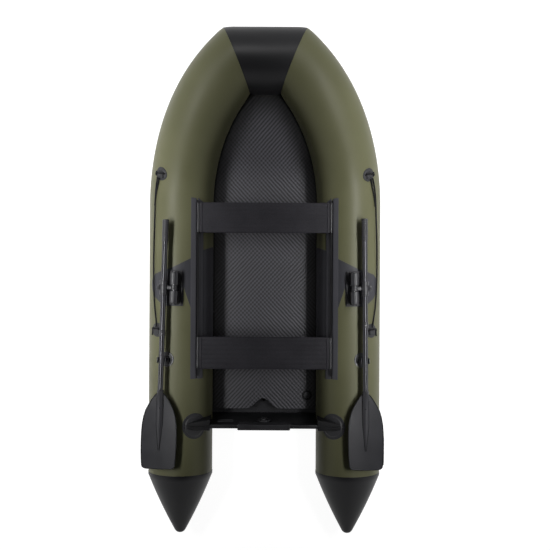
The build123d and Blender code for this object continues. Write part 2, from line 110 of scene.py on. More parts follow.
# frame with its z along the given world axis
def facing(place, axis):
    return axesMatrix(Vector(place), *(Vector(t) for t in axes[axis]))


def shift(x=0.0, y=0.0, z=0.0):
    return Matrix.Translation((x, y, z))


# same section drawn larger or smaller
def swell(share):
    return Matrix.Diagonal((share, share, 1, 1))


# frames along a world axis from (distance, size of the section) pairs
def runAlong(place, axis, stations):
    unit = Vector(axes[axis][2])
    if axis.startswith("-"):
        unit = -unit
    return [place @ facing(unit * far, axis) @ swell(share) for far, share in stations]


# value kept between low and 1
def clamp(value, low=0):
    return min(max(value, low), 1)


# frame that touches the starboard tube: x outboard round it, y to the bow, z off it
def tubeSpot(y, lean, lift=0.0):
    place, along, normal = onTube(y, radians(lean), lift)
    return axesMatrix(place, along.cross(normal), along, normal)


def linearColour(code):
    parts = [int(code[i:i + 2], 16) / 255 for i in (1, 3, 5)]
    return tuple(p / 12.92 if p < 0.04045 else ((p + 0.055) / 1.055) ** 2.4 for p in parts) + (1,)


def addNode(tree, kind, settings=(), inputs=()):
    node = tree.nodes.new("ShaderNode" + kind)
    for name, value in dict(settings).items():
        setattr(node, name, value)
    for name, value in dict(inputs).items():
        if isinstance(value, bpy.types.NodeSocket):
            tree.links.new(value, node.inputs[name])
        else:
            node.inputs[name].default_value = value
    return node


# the empty node tree of a new material or world
def emptyTree(owner):
    owner.use_nodes = True
    owner.node_tree.nodes.clear()
    return owner.node_tree


def linkObject(name, data):
    thing = bpy.data.objects.new(name, data)
    bpy.context.collection.objects.link(thing)
    return thing


# new material with its shader and the piece's own object coordinates
def startMaterial(name, roughness, specular=0.5, metallic=0.0):
    material = bpy.data.materials.new(name)
    tree = emptyTree(material)
    shader = addNode(tree, "BsdfPrincipled", {}, {
        "Roughness": roughness, "Metallic": metallic, "Specular IOR Level": specular})
    addNode(tree, "OutputMaterial", {}, {"Surface": shader.outputs[0]})
    place = addNode(tree, "TexCoord").outputs["Object"]
    return material, tree, shader, place


def noiseNode(tree, place, size, detail=2.0):
    return addNode(tree, "TexNoise", {}, {"Vector": place, "Scale": 1 / size, "Detail": detail})


def rampNode(tree, source, *stops):
    ramp = addNode(tree, "ValToRGB", {}, {0: source})
    for element, (position, code) in zip(ramp.color_ramp.elements, stops):
        element.position = position
        element.color = linearColour(code)
    return ramp.outputs[0]


def rangeNode(tree, source, low, high, newLow, newHigh, kind="LINEAR"):
    return addNode(tree, "MapRange", {"interpolation_type": kind}, {
        0: source, 1: low, 2: high, 3: newLow, 4: newHigh}).outputs[0]


# two close colours in soft patches, with fine grain over them
def mottle(tree, shader, place, dark, light, patch, grain, share=0.35):
    soft = noiseNode(tree, place, patch).outputs[0]
    fine = noiseNode(tree, place, grain, 3).outputs[0]
    both = addNode(tree, "Mix", {}, {0: share, 2: soft, 3: fine}).outputs[0]
    tree.links.new(rampNode(tree, both, (0.3, dark), (0.7, light)), shader.inputs["Base Color"])
    return soft, fine


def addBump(tree, shader, height, strength, depth, under=None):
    inputs = {"Height": height, "Strength": strength, "Distance": depth}
    if under:
        inputs["Normal"] = under
    bump = addNode(tree, "Bump", {}, inputs).outputs[0]
    tree.links.new(bump, shader.inputs["Normal"])
    return bump


def varyRoughness(tree, shader, source, low, high):
    tree.links.new(rangeNode(tree, source, 0.3, 0.7, low, high), shader.inputs["Roughness"])


# PVC-coated polyester, calendered smooth: satin, with the base cloth just telling through
def makeCoatedCloth(name, dark, light, specular, roughness=(0.42, 0.55)):
    material, tree, shader, place = startMaterial(name, 0.5, specular)
    soft = mottle(tree, shader, place, dark, light, 0.35, 0.004)[0]
    varyRoughness(tree, shader, soft, *roughness)
    ripple = addBump(tree, shader, noiseNode(tree, place, 0.11, 1).outputs[0], 0.5, 0.003)
    # threads are 1 mm apart, drawn coarser at 4 mm so that they show
    weave = noiseNode(tree, place, 0.004, 1).outputs[0]
    addBump(tree, shader, weave, 0.25, 0.0004, ripple)
    return material


# the same cloth embossed with crossed slanting ribs 19 mm apart; their crests are painted paler and their
# grooves darker, painted light and shade of the embossing, and one family or the other stands out
def makeGripCloth():
    material, tree, shader, place = startMaterial("embossedGripPvc", 0.5, 0.4)
    spacing = 0.0191
    families = []
    for turn in (-47, 47):
        turned = addNode(tree, "Mapping", {}, {"Vector": place, "Rotation": (0, 0, radians(turn))})
        wave = addNode(tree, "TexWave", {"bands_direction": "Y"}, {
            "Vector": turned.outputs[0], "Scale": pi / 10 / spacing, "Distortion": 0.9,
            "Detail": 1.0, "Detail Scale": 1.5}).outputs[1]
        families.append(wave)
    drift = noiseNode(tree, place, 0.45, 1).outputs[0]
    share = rangeNode(tree, drift, 0.38, 0.62, 0.12, 0.88)
    ribs = addNode(tree, "Mix", {}, {0: share, 2: families[0], 3: families[1]}).outputs[0]
    # painted light and shade: the ribs' crests are coloured paler and their grooves darker
    ramp = rampNode(tree, ribs, (0.12, "#161619"), (0.88, "#424147"))
    patch = noiseNode(tree, place, 0.3).outputs[0]
    shade = rangeNode(tree, patch, 0.3, 0.7, 0.85, 1.1)
    # painted shade: the cloth is coloured darker near the tubes, where their shade falls on the floor
    tubeDistance = addNode(tree, "Attribute", {"attribute_name": "fromTube"}).outputs["Fac"]
    paintedTubeShade = rangeNode(tree, tubeDistance, -0.01, 0.14, 0.16, 1.0, "SMOOTHSTEP")
    shade = addNode(tree, "Math", {"operation": "MULTIPLY"}, {0: shade, 1: paintedTubeShade}).outputs[0]
    both = addNode(tree, "VectorMath", {"operation": "SCALE"}, {0: ramp, "Scale": shade})
    tree.links.new(both.outputs[0], shader.inputs["Base Color"])
    addBump(tree, shader, ribs, 0.8, 0.0015)
    return material


# moulded rubber or plastic: an even skin with a fine spark-eroded grain
def makeMoulded(name, dark, light, roughness, specular, grain=0.003):
    material, tree, shader, place = startMaterial(name, roughness, specular)
    soft, fine = mottle(tree, shader, place, dark, light, 0.12, grain, 0.6)
    varyRoughness(tree, shader, soft, roughness - 0.05, roughness + 0.06)
    addBump(tree, shader, fine, 0.3, 0.0003)
    return material


# aluminium tube, drawn and anodised near black: fine lines along it in the sheen
def makeAnodised():
    material, tree, shader, place = startMaterial("blackAnodisedAluminium", 0.3, 0.5, 0.55)
    long = addNode(tree, "Mapping", {}, {"Vector": place, "Scale": (1, 0.02, 1)}).outputs[0]
    lines = noiseNode(tree, long, 0.004, 3).outputs[0]
    mottle(tree, shader, long, "#47474c", "#56565b", 0.02, 0.003)
    varyRoughness(tree, shader, lines, 0.26, 0.36)
    return material


# marine plywood under black two-pack paint: the grain shows faintly along the board
def makePaintedPly():
    material, tree, shader, place = startMaterial("blackPaintedPlywood", 0.4, 0.4)
    long = addNode(tree, "Mapping", {}, {"Vector": place, "Scale": (0.08, 1, 1)}).outputs[0]
    grain = noiseNode(tree, long, 0.006, 4).outputs[0]
    mottle(tree, shader, long, "#0c0c0e", "#1b1b1e", 0.05, 0.006)
    varyRoughness(tree, shader, grain, 0.34, 0.5)
    addBump(tree, shader, grain, 0.3, 0.0004)
    return material


# laid polyester rope: strands catch the light along their crowns
def makeRope():
    material, tree, shader, place = startMaterial("laidPolyesterRope", 0.75, 0.15)
    uv = addNode(tree, "TexCoord").outputs["UV"]
    fibres = addNode(tree, "Mapping", {}, {"Vector": uv, "Scale": (40, 900, 1)}).outputs[0]
    threads = addNode(tree, "TexNoise", {}, {"Vector": fibres, "Scale": 1.0, "Detail": 2.0}).outputs[0]
    mottle(tree, shader, place, "#09090a", "#1b1b1d", 0.03, 0.003)
    addBump(tree, shader, threads, 0.6, 0.0006)
    return material


# pressed stainless steel, tumbled bright
def makeSteel():
    material, tree, shader, place = startMaterial("tumbledStainlessSteel", 0.25, 0.5, 1.0)
    fine = mottle(tree, shader, place, "#8e8f92", "#b9babd", 0.02, 0.002)[1]
    varyRoughness(tree, shader, fine, 0.2, 0.34)
    return material


finishes = {
    "tube_fabric": makeCoatedCloth("oliveCoatedPolyester", "#55553e", "#5f5f47", 0.22, (0.42, 0.54)),
    "black_fabric": makeCoatedCloth("blackCoatedPolyester", "#18181a", "#202022", 0.2, (0.40, 0.5)),
    "bottom_fabric": makeCoatedCloth("blackBottomPolyester", "#17171a", "#222225", 0.25, (0.55, 0.7)),
    "dark_patch": makeCoatedCloth("greyChafePolyester", "#2f2f33", "#3b3b40", 0.3, (0.5, 0.62)),
    "floor_fabric": makeGripCloth(),
    "black_rubber": makeMoulded("mouldedBlackRubber", "#1e1e20", "#2a2a2d", 0.55, 0.4),
    "black_plastic": makeMoulded("mouldedBlackNylon", "#1e1e21", "#2b2b2f", 0.4, 0.5),
    "blade_plastic": makeMoulded("mouldedBladePolypropylene", "#2b2b2e", "#353539", 0.42, 0.3),
    "seat_board": makeMoulded("extrudedSeatPvc", "#242327", "#2f2e33", 0.5, 0.15, 0.006),
    "grip_rubber": makeMoulded("mouldedGripRubber", "#262628", "#36363a", 0.5, 0.4, 0.002),
    "name_plate": makeMoulded("printedBlankPlate", "#3a3b3d", "#47484b", 0.35, 0.4),
    "black_aluminium": makeAnodised(),
    # near-black rubber for the blade's rim and the floor valve's flange, and painted shade on the rail's
    # bead, the blade's rib lines and the holders' cheeks
    "rim_rubber": makeMoulded("nearBlackRubberAndShade", "#0d0d0e", "#161618", 0.6, 0.2),
    "pale_grey_cloth": makeCoatedCloth("greyRailPolyester", "#3e3e43", "#4a4a4f", 0.3, (0.45, 0.55)),
    # near-black finish that paints the shade in the oar shafts' flutes
    "black_lacquer": makeMoulded("paintedFluteShade", "#0a0a0b", "#131314", 0.6, 0.2),
    "transom_wood": makePaintedPly(),
    "rope": makeRope(),
    "steel": makeSteel(),
}
print("finishes made:", len(finishes))


# what drawing calls have added to a bmesh since before was taken
def newVerts(bm, before):
    return [v for v in bm.verts if v not in before]


def ofKind(geometry, kind):
    return [g for g in geometry if isinstance(g, kind)]


# cuts a bmesh at a plane, clears its inner or outer side and closes the cut
def trimAt(bm, point, normal, **cleared):
    cut = bmesh.ops.bisect_plane(bm, geom=bm.verts[:] + bm.edges[:] + bm.faces[:], plane_co=point,
                                 plane_no=normal, **cleared)["geom_cut"]
    bmesh.ops.contextual_create(bm, geom=ofKind(cut, bmesh.types.BMEdge))


def mirrorNew(bm, before=()):
    bmesh.ops.scale(bm, vec=(-1, 1, 1), verts=newVerts(bm, before))


def evenly(low, high, steps):
    return [low + (high - low) * i / steps for i in range(steps + 1)]


def move(bm, before, matrix):
    bmesh.ops.transform(bm, matrix=matrix, verts=newVerts(bm, before))


# number of the finish that these faces wear, among their piece's finishes
def giveLook(faces, index):
    for face in faces:
        face.material_index = index


def easeEdges(bm, edges, radius, segments):
    bmesh.ops.bevel(bm, geom=edges, offset=radius, affect="EDGES", segments=segments, profile=0.5,
                    material=-1)


def weld(bm, verts, distance=1e-6):
    bmesh.ops.remove_doubles(bm, verts=verts, dist=distance)


def addBlock(bm, size, radius, place=None, segments=3):
    cube = bmesh.ops.create_cube(bm, size=1, matrix=Matrix.Diagonal((*size, 1)))
    edges = list({e for v in cube["verts"] for e in v.link_edges})
    before = set(bm.verts) - set(cube["verts"])
    easeEdges(bm, edges, radius, segments)
    move(bm, before, place or Matrix())


# turned shape about z, from (distance from the axis, height) pairs
def addTurned(bm, outline, place=None, steps=48):
    before = set(bm.verts)
    verts = [bm.verts.new((r, 0, h)) for r, h in outline]
    edges = [bm.edges.new(pair) for pair in zip(verts, verts[1:])]
    bmesh.ops.spin(bm, geom=verts + edges, cent=(0, 0, 0), axis=(0, 0, 1), angle=2 * pi,
                   steps=steps, use_merge=True)
    weld(bm, newVerts(bm, before))
    move(bm, before, place or Matrix())


# flat outline in x and y raised to a slab, its upper edge rounded, with a raised or sunk panel on top
def addSlab(bm, outline, thick, edge=0.0, place=None, segments=2, cuts=0, rim=None):
    before = set(bm.verts)
    verts = [bm.verts.new((x, y, 0)) for x, y in outline]
    edges = [bm.edges.new((a, b)) for a, b in zip(verts, verts[1:] + verts[:1])]
    if cuts:
        bmesh.ops.subdivide_edges(bm, edges=edges, cuts=cuts)
        edges = list({e for v in newVerts(bm, before) for e in v.link_edges})
    bmesh.ops.contextual_create(bm, geom=edges)
    face = next(f for f in bm.faces if f.verts[0] not in before)
    grown = bmesh.ops.extrude_face_region(bm, geom=[face])["geom"]
    top = ofKind(grown, bmesh.types.BMVert)
    lid = next(f for f in grown if isinstance(f, bmesh.types.BMFace))
    bmesh.ops.translate(bm, vec=(0, 0, thick), verts=top)
    if rim:
        lid.normal_update()
        bmesh.ops.inset_region(bm, faces=[lid], thickness=rim[0], depth=0, use_even_offset=True)
        inner = set(lid.verts)
        if rim[1]:
            grown = bmesh.ops.extrude_face_region(bm, geom=[lid])["geom"]
            raised = ofKind(grown, bmesh.types.BMVert)
            bmesh.ops.translate(bm, vec=(0, 0, rim[1]), verts=raised)
            bmesh.ops.delete(bm, geom=[f for f in bm.faces if set(f.verts) == inner], context="FACES_ONLY")
    if edge:
        loop = set(top)
        ring = list({e for v in top for e in v.link_edges if set(e.verts) <= loop})
        easeEdges(bm, ring, edge, segments)
    move(bm, before, place or Matrix())


# two slabs back to back, with no face left between them
def addBoard(bm, outline, half, edge, **rest):
    for way in (1, -1):
        before = set(bm.verts)
        addSlab(bm, outline, half, edge, **rest)
        bmesh.ops.scale(bm, vec=(1, 1, way), verts=newVerts(bm, before))
    weld(bm, bm.verts)
    inside = [f for f in bm.faces if all(abs(v.co.z) < 1e-6 for v in f.verts)]
    bmesh.ops.delete(bm, geom=inside, context="FACES_ONLY")


# closed section swept through a list of matrices, z along the run
def addSweep(bm, section, places, close=True):
    verts = [bm.verts.new(places[0] @ Vector((x, y, 0))) for x, y in section]
    edges = [bm.edges.new(pair) for pair in zip(verts, verts[1:] + verts[:1])]
    if close:
        bmesh.ops.contextual_create(bm, geom=edges)
    for here, there in zip(places, places[1:]):
        grown = bmesh.ops.extrude_edge_only(bm, edges=edges)["geom"]
        verts = ofKind(grown, bmesh.types.BMVert)
        fresh = set(verts)
        edges = [g for g in grown if isinstance(g, bmesh.types.BMEdge) and set(g.verts) <= fresh]
        bmesh.ops.transform(bm, matrix=there @ here.inverted(), verts=verts)
    if close:
        bmesh.ops.contextual_create(bm, geom=edges)


def polar(radius, angle):
    return radius * cos(angle), radius * sin(angle)


def circle(radius, count):
    return [polar(radius, 2 * pi * i / count) for i in range(count)]


# circle with rounded grooves round it; turn moves where they start
def fluted(radius, depth, count, flutes, sharpness, turn=0.0):
    section = []
    for i in range(count):
        a = 2 * pi * i / count
        r = radius - depth * max(cos(flutes * a + turn), 0) ** sharpness
        section.append(polar(r, a))
    return section


def roundedRect(wide, tall, radius, steps=4):
    outline = []
    for quarter, (sx, sy) in enumerate(((1, 1), (-1, 1), (-1, -1), (1, -1))):
        for i in range(steps + 1):
            a = pi / 2 * (quarter + i / steps)
            outline.append((sx * (wide / 2 - radius) + radius * cos(a),
                            sy * (tall / 2 - radius) + radius * sin(a)))
    return outline


def cutEvery(bm, before, axis, low, high, step):
    normal = Vector([float(i == axis) for i in range(3)])
    for i in range(1, int((high - low) / step) + 1):
        fresh = set(newVerts(bm, before))
        edges = {e for v in fresh for e in v.link_edges}
        faces = {f for v in fresh for f in v.link_faces}
        bmesh.ops.bisect_plane(bm, geom=list(fresh) + list(edges) + list(faces),
                               plane_co=normal * (low + i * step), plane_no=normal)


# lay what was drawn flat round the starboard tube: x outboard of the lean, y forward, z off it
def layOnTube(bm, before, y, lean, step=0.014, alongStep=0.0):
    for axis, size in ((0, step), (1, alongStep)):
        if size:
            low, high = (f(v.co[axis] for v in newVerts(bm, before)) for f in (min, max))
            cutEvery(bm, before, axis, low, high, size)
    for v in newVerts(bm, before):
        round = radians(lean) + v.co.x / hull["radius"]
        v.co = onTube(y + v.co.y, round, v.co.z)[0]


def meshObject(bm, name):
    mesh = bpy.data.meshes.new(name)
    bm.to_mesh(mesh)
    bm.free()
    return linkObject(name, mesh)


def finishPiece(bm, name, slotName, body="hull", standsFor=(), side=1, sharp=34, looks=()):
    if side < 0:
        mirrorNew(bm)
    weld(bm, bm.verts)
    bmesh.ops.recalc_face_normals(bm, faces=bm.faces)
    for face in bm.faces:
        face.smooth = True
    for edge in bm.edges:
        edge.smooth = not (edge.is_manifold and edge.calc_face_angle(0) > radians(sharp))
    piece = meshObject(bm, name)
    for look in [slotName, *looks]:
        piece.data.materials.append(finishes[look])
    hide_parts(*standsFor)
    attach(piece, body)
    return piece


# a piece of one side, drawn to starboard and mirrored to port, that stands for that side's node
def finishSide(bm, side, name, slotName, node="", moving=False, mirror=True, **rest):
    return finishPiece(bm, f"{name}.{side}", slotName, body=f"oar_{side}" if moving else "hull",
                       standsFor=[f"{node}_{side}"] if node else [],
                       side=sides[side] if mirror else 1, **rest)


view = {"lens": 59.6, "sensor": 36.0, "place": (0.066, 0.068, 6.105), "roll": 0.3}


def setCamera():
    data = bpy.data.cameras.new("camera")
    data.lens = view["lens"]
    data.sensor_width = view["sensor"]
    eye = linkObject("camera", data)
    eye.location = view["place"]
    eye.rotation_euler = (0, 0, radians(view["roll"]))
    bpy.context.scene.camera = eye


# pale floor and round wall under a dim ceiling; gridded strip boxes hang over the sides and ahead of the bow
studio = {
    "ceiling": 0.06, "wallFar": 26.0, "wallTall": 22.0, "glow": 0.955, "shade": 0.22,
    "boxes": [
        ("stripPort", (-1.75, 0.65, 2.7), (0.4, 3.3), 84, 70),
        ("stripStarboard", (1.6, 0.6, 2.7), (0.4, 3.2), 84, 55),
        ("boxBow", (0.0, 2.5, 2.6), (1.6, 0.45), 100, 15),
    ],
}


# as the camera, metal and clear things see it, mostly its own white with what the lamps and shadows leave
def makePale():
    material = bpy.data.materials.new("paleStudioPaint")
    tree = emptyTree(material)
    rays = addNode(tree, "LightPath").outputs
    seen = rays["Is Camera Ray"]
    for kind in ("Is Glossy Ray", "Is Transmission Ray"):
        seen = addNode(tree, "Math", {"operation": "MAXIMUM"}, {0: seen, 1: rays[kind]}).outputs[0]
    plain = addNode(tree, "BsdfDiffuse", {}, {"Color": (0.75, 0.75, 0.75, 1)}).outputs[0]
    shaded = addNode(tree, "BsdfDiffuse", {}, {"Color": (*[studio["shade"]] * 3, 1)}).outputs[0]
    glow = addNode(tree, "Emission", {}, {"Color": (1, 1, 1, 1), "Strength": studio["glow"]}).outputs[0]
    pale = addNode(tree, "AddShader", {}, {0: shaded, 1: glow}).outputs[0]
    mixed = addNode(tree, "MixShader", {}, {0: seen, 1: plain, 2: pale}).outputs[0]
    addNode(tree, "OutputMaterial", {}, {"Surface": mixed})
    return material


def setStudio():
    for name, place, size, spread, power in studio["boxes"]:
        lamp = bpy.data.lights.new(name, "AREA")
        lamp.shape = "RECTANGLE"
        lamp.size, lamp.size_y = size
        lamp.spread = radians(spread)
        lamp.energy = power
        box = linkObject(name, lamp)
        box.location = place
        box.visible_camera = False
    world = bpy.data.worlds.new("dimCeiling")
    bpy.context.scene.world = world
    tree = emptyTree(world)
    ceiling = addNode(tree, "Background", {}, {"Color": (1, 1, 1, 1), "Strength": studio["ceiling"]})
    addNode(tree, "OutputWorld", {}, {"Surface": ceiling.outputs[0]})
    bpy.context.scene.view_settings.view_transform = "Standard"
    bm = bmesh.new()
    ring = bmesh.ops.create_circle(bm, cap_ends=True, segments=96, radius=studio["wallFar"])["verts"]
    edges = [e for e in bm.edges if set(e.verts) <= set(ring)]
    grown = bmesh.ops.extrude_edge_only(bm, edges=edges)["geom"]
    top = ofKind(grown, bmesh.types.BMVert)
    bmesh.ops.translate(bm, vec=(0, 0, studio["wallTall"]), verts=top)
    bmesh.ops.recalc_face_normals(bm, faces=bm.faces)
    ground = meshObject(bm, "studioFloor")
    ground.data.materials.append(makePale())


setCamera()
setStudio()
print("camera, lamps and floor set")


# 10 mm rope; places are (y, degrees outboard of the tube's top), lying on the tube's shoulder
grabLine = {
    "radius": 0.005,
    "lift": 0.0075,
    "length": 0.966,
    "strands": 3,
    "slack": {"port": 6.0, "starboard": 1.5},    # degrees that the line lies higher than it is cut for
    "lay": 0.034,          # one turn of a strand
    "route": [
        (0.706, 43), (0.640, 47.5), (0.560, 50), (0.468, 51.5), (0.372, 53.5), (0.270, 55.2),
        (0.168, 56), (0.066, 55.8), (-0.030, 54.5), (-0.110, 52), (-0.178, 48), (-0.236, 43.5),
        (-0.262, 42),
    ],
}


# points along a NURBS curve with these control points
def alongCurve(points, name, resolution=12):
    curve = bpy.data.curves.new(name, "CURVE")
    curve.dimensions = "3D"
    curve.resolution_u = resolution
    spline = curve.splines.new("NURBS")
    spline.points.add(len(points) - 1)
    for point, place in zip(spline.points, points):
        point.co = (*place, 1)
    spline.order_u = 3
    spline.use_endpoint_u = True
    holder = linkObject(name, curve)
    bpy.context.view_layer.update()
    mesh = bpy.data.meshes.new_from_object(holder)
    line = [v.co.copy() for v in mesh.vertices]
    bpy.data.objects.remove(holder)
    bpy.data.curves.remove(curve)
    bpy.data.meshes.remove(mesh)
    return line


# matrices along a line, turned as little as possible from one to the next
def placesAlong(line):
    places = []
    x = None
    for i, here in enumerate(line):
        z = (line[min(i + 1, len(line) - 1)] - line[max(i - 1, 0)]).normalized()
        x = z.orthogonal().normalized() if x is None else (x - z * x.dot(z)).normalized()
        places.append(axesMatrix(here, x, z.cross(x), z))
    return places


def addRope(bm, line, radius):
    ring = 18
    run = 0.0
    places = placesAlong(line)
    before = set(bm.verts)
    addSweep(bm, circle(radius, ring), places)
    uv = bm.loops.layers.uv.verify()
    fresh = newVerts(bm, before)
    for i, v in enumerate(fresh):
        row = i // ring
        if i % ring == 0 and row:
            run += (line[row] - line[row - 1]).length
        centre = line[row]
        turn = 2 * pi * (i % ring) / ring
        crown = cos(grabLine["strands"] * (turn - 2 * pi * run / grabLine["lay"]))
        v.co = centre + (v.co - centre) * (0.9 + 0.1 * crown)
        for loop in v.link_loops:
            loop[uv].uv = (turn / (2 * pi), run)


# the line's ends: turns round the holders' tabs and the tails, from each holder's middle in metres
knots = {
    "holders": [(0.722, 36), (-0.281, 41)], "holderR": 0.045,
    "turns": [
        (0, [(-0.029, 0.006, 0.007), (-0.026, 0.011, 0.016), (-0.008, 0.009, 0.0205), (0.010, 0.004, 0.0205),
             (0.026, 0.004, 0.017), (0.040, 0.010, 0.008), (0.044, -0.004, 0.007), (0.036, -0.015, 0.012),
             (0.024, -0.012, 0.010)]),
        (0, [(0.006, -0.016, 0.010), (0.009, -0.034, 0.0098), (0.011, -0.048, 0.009), (0.016, -0.066, 0.0066),
             (0.022, -0.100, 0.0062), (0.031, -0.148, 0.0062), (0.038, -0.185, 0.0062),
             (0.043, -0.218, 0.0064)]),
        (1, [(-0.029, 0.000, 0.007), (-0.026, 0.006, 0.016), (-0.008, 0.008, 0.0205), (0.012, 0.009, 0.020),
             (0.030, 0.012, 0.014), (0.038, 0.006, 0.009), (0.037, -0.014, 0.0075), (0.044, -0.034, 0.0066)]),
    ],
}


def makeKnots(side, sign):
    bm = bmesh.new()
    for holder, turns in knots["turns"]:
        y, lean = knots["holders"][holder]
        points = [onTube(y + ahead, radians(lean) + out / hull["radius"], off)[0]
                  for out, ahead, off in turns]
        addRope(bm, alongCurve([Vector((sign * p.x, p.y, p.z)) for p in points], "turn"), grabLine["radius"])
    return finishSide(bm, side, "grabLineKnots", "rope", mirror=False, sharp=80)


def makeGrabLine(side, sign):
    last = len(grabLine["route"]) - 1
    points = [onTube(y, radians(lean - grabLine["slack"][side] * sin(pi * i / last) ** 0.7),
                     grabLine["lift"])[0] for i, (y, lean) in enumerate(grabLine["route"])]
    points = [Vector((sign * p.x, p.y, p.z)) for p in points]
    line = alongCurve(points, "route", 14)
    bm = bmesh.new()
    addRope(bm, line, grabLine["radius"])
    piece = finishSide(bm, side, "grabLine", "rope", "grab_line", mirror=False, sharp=80)
    makeKnots(side, sign)


for side, sign in sides.items():
    makeGrabLine(side, sign)
print("grab lines laid")


tubes = {
    "segments": 112, "straightStep": 0.09, "bendStep": 0.022, "pastEnd": 0.02,
    "seamPull": 0.007, "seamReach": 0.06, "bowProud": 0.0012,
    "puckersFrom": 0.62, "puckersTo": 1.36, "puckerDeep": 0.0022,
}

halfTurn = radians(hull["bendTurn"] / 2)
mitreAt = tubeCentre(hull["bowY"])
mitreNormal = Vector((cos(halfTurn), -sin(halfTurn), 0))    # aft and outboard
mitreOut = Vector((sin(halfTurn), cos(halfTurn), 0))        # along the seam, to the corner


# cloth under pressure rounds the corner where two panels meet at an angle
def easeCorner(bm, sign=1):
    normal, out, corner = (Vector((v.x * sign, v.y, v.z)) for v in (mitreNormal, mitreOut, mitreAt))
    for v in bm.verts:
        away = abs((v.co - corner).dot(normal)) / tubes["seamReach"]
        if away < 1:
            round = (v.co - corner).dot(out) / (hull["radius"] / cos(halfTurn))
            v.co -= out * (tubes["seamPull"] * (1 - away) ** 2 * round * abs(round))


def tubePlaces():
    stations = []
    y = hull["coneY"]
    while y < hull["bowY"]:
        stations.append(y)
        y += tubes["straightStep"] if y < hull["bendY"] - 0.1 else tubes["bendStep"]
    stations.append(hull["bowY"])
    places = []
    for y in stations:
        along = (tubeCentre(y + 0.001) - tubeCentre(y - 0.001)).normalized()
        out = Vector((along.y, -along.x, 0)).normalized()
        places.append(axesMatrix(tubeCentre(y), out, along.cross(out), along))
    turn = radians(hull["bendTurn"])
    ahead = Vector((-sin(turn), cos(turn), 0))
    for _ in range(8):
        last = places[-1].copy()
        last.translation += ahead * tubes["pastEnd"]
        places.append(last)
    return places


def makeSideTube(side):
    bm = bmesh.new()
    addSweep(bm, circle(hull["radius"], tubes["segments"]), tubePlaces())
    trimAt(bm, mitreAt, mitreNormal, clear_inner=True)
    easeCorner(bm)
    # small puckers where the cloth is gathered on the inside of the bend
    low, high = tubes["puckersFrom"], tubes["puckersTo"]
    for v in bm.verts:
        if low < v.co.y < high:
            inward = max((tubeCentre(v.co.y).x - v.co.x) / hull["radius"], 0)
            share = sin((v.co.y - low) / (high - low) * pi)
            fold = noise.noise(Vector((v.co.y * 17, v.co.z * 2.5, 3.1)))
            v.co.x += tubes["puckerDeep"] * inward ** 2 * share * fold
    finishSide(bm, side, "sideTube", "tube_fabric", "tube", sharp=50)


def makeBowTube():
    bm = bmesh.new()
    radius = hull["radius"] + tubes["bowProud"]
    places = [facing((x * 0.02, hull["bowY"], sheerAt(hull["bowY"])), "x") for x in range(-20, 21)]
    addSweep(bm, circle(radius, tubes["segments"]), places)
    for sign in (1, -1):
        normal = Vector((mitreNormal.x * sign, mitreNormal.y, 0))
        at = Vector((mitreAt.x * sign, mitreAt.y, mitreAt.z))
        trimAt(bm, at, normal, clear_outer=True)
        easeCorner(bm, sign)
    finishPiece(bm, "bowTube", "black_fabric", standsFor=["bow_tube"], sharp=50)


cone = {"tipR": 0.040, "bulge": 0.007, "rows": 22, "hem": 0.020, "proud": 0.0014}


# cone cut as one panel, hemmed over the tube, with a moulded toe
def makeStern(side):
    bm = bmesh.new()
    long = hull["coneY"] - hull["sternY"]
    far = long - cone["tipR"]
    slope = atan((hull["radius"] - cone["tipR"]) / far)
    touchR, touchAt = cone["tipR"] * cos(slope), far + cone["tipR"] * sin(slope)
    radius = hull["radius"]
    outline = [(radius - 0.002, -cone["hem"]), (radius + cone["proud"], -cone["hem"]),
               (radius + cone["proud"], -0.002)]
    for i in range(1, cone["rows"] + 1):
        part = i / cone["rows"]
        full = radius + (touchR - radius) * part + cone["bulge"] * 4 * part * (1 - part)
        outline.append((full, touchAt * part))
    for i in range(1, 9):
        a = slope + (pi / 2 - slope) * i / 8
        outline.append((cone["tipR"] * cos(a) if i < 8 else 0, far + cone["tipR"] * sin(a)))
    outline.append((0, -cone["hem"]))
    place = facing((hull["axisX"], hull["coneY"], hull["axisZ"]), "-y")
    addTurned(bm, outline + outline[:1], place, 96)
    finishSide(bm, side, "sternCone", "black_fabric", "stern_cone")


airFloor = {
    "top": -0.085, "thick": 0.065, "inward": 0.180, "aft": -0.809, "front": 1.235,
    "notchWide": 0.230, "notchDeep": 0.068, "notchX": -0.010, "notchLong": 0.15, "corner": 0.030,
    "steps": 68,
}


def makeAirFloor():
    bm = bmesh.new()
    f = airFloor
    wide = 2 * drawnIn(0, f["inward"])
    outline = [(-x, z) for x, z in roundedRect(wide, f["thick"], f["corner"], 5)]
    middle = f["top"] - f["thick"] / 2
    addSweep(bm, outline, [facing((0, y, sheerAt(y) + middle), "-y")
                           for y in evenly(f["aft"], f["front"], f["steps"])])
    cutEvery(bm, set(), 0, -wide / 2, wide / 2, 0.02)
    full = wide / 2 - f["corner"] - 0.01
    for v in bm.verts:
        narrow = drawnIn(v.co.y, f["inward"]) - wide / 2
        v.co.x += narrow * clamp(v.co.x / full, -1)
        # the aft edge is let in for the drain
        reach = clamp(1 - (v.co.y - f["aft"]) / f["notchLong"])
        across = min(abs(v.co.x - f["notchX"]) / (f["notchWide"] / 2), 1)
        v.co.y += reach * f["notchDeep"] * (0.5 + 0.5 * cos(pi * across)) ** 1.3
    # distance of each point from the tubes, which the floor's finish uses to paint in their shade
    fromTube = bm.verts.layers.float.new("fromTube")
    for v in bm.verts:
        ahead = hull["bowY"] - hull["radius"] - v.co.y
        v[fromTube] = min(drawnIn(v.co.y, hull["radius"]) - abs(v.co.x), ahead)
    finishPiece(bm, "airFloor", "floor_fabric", standsFor=["air_floor"], sharp=60)


for side in sides:
    makeSideTube(side)
    makeStern(side)
makeBowTube()
makeAirFloor()
print("tubes and floor made")


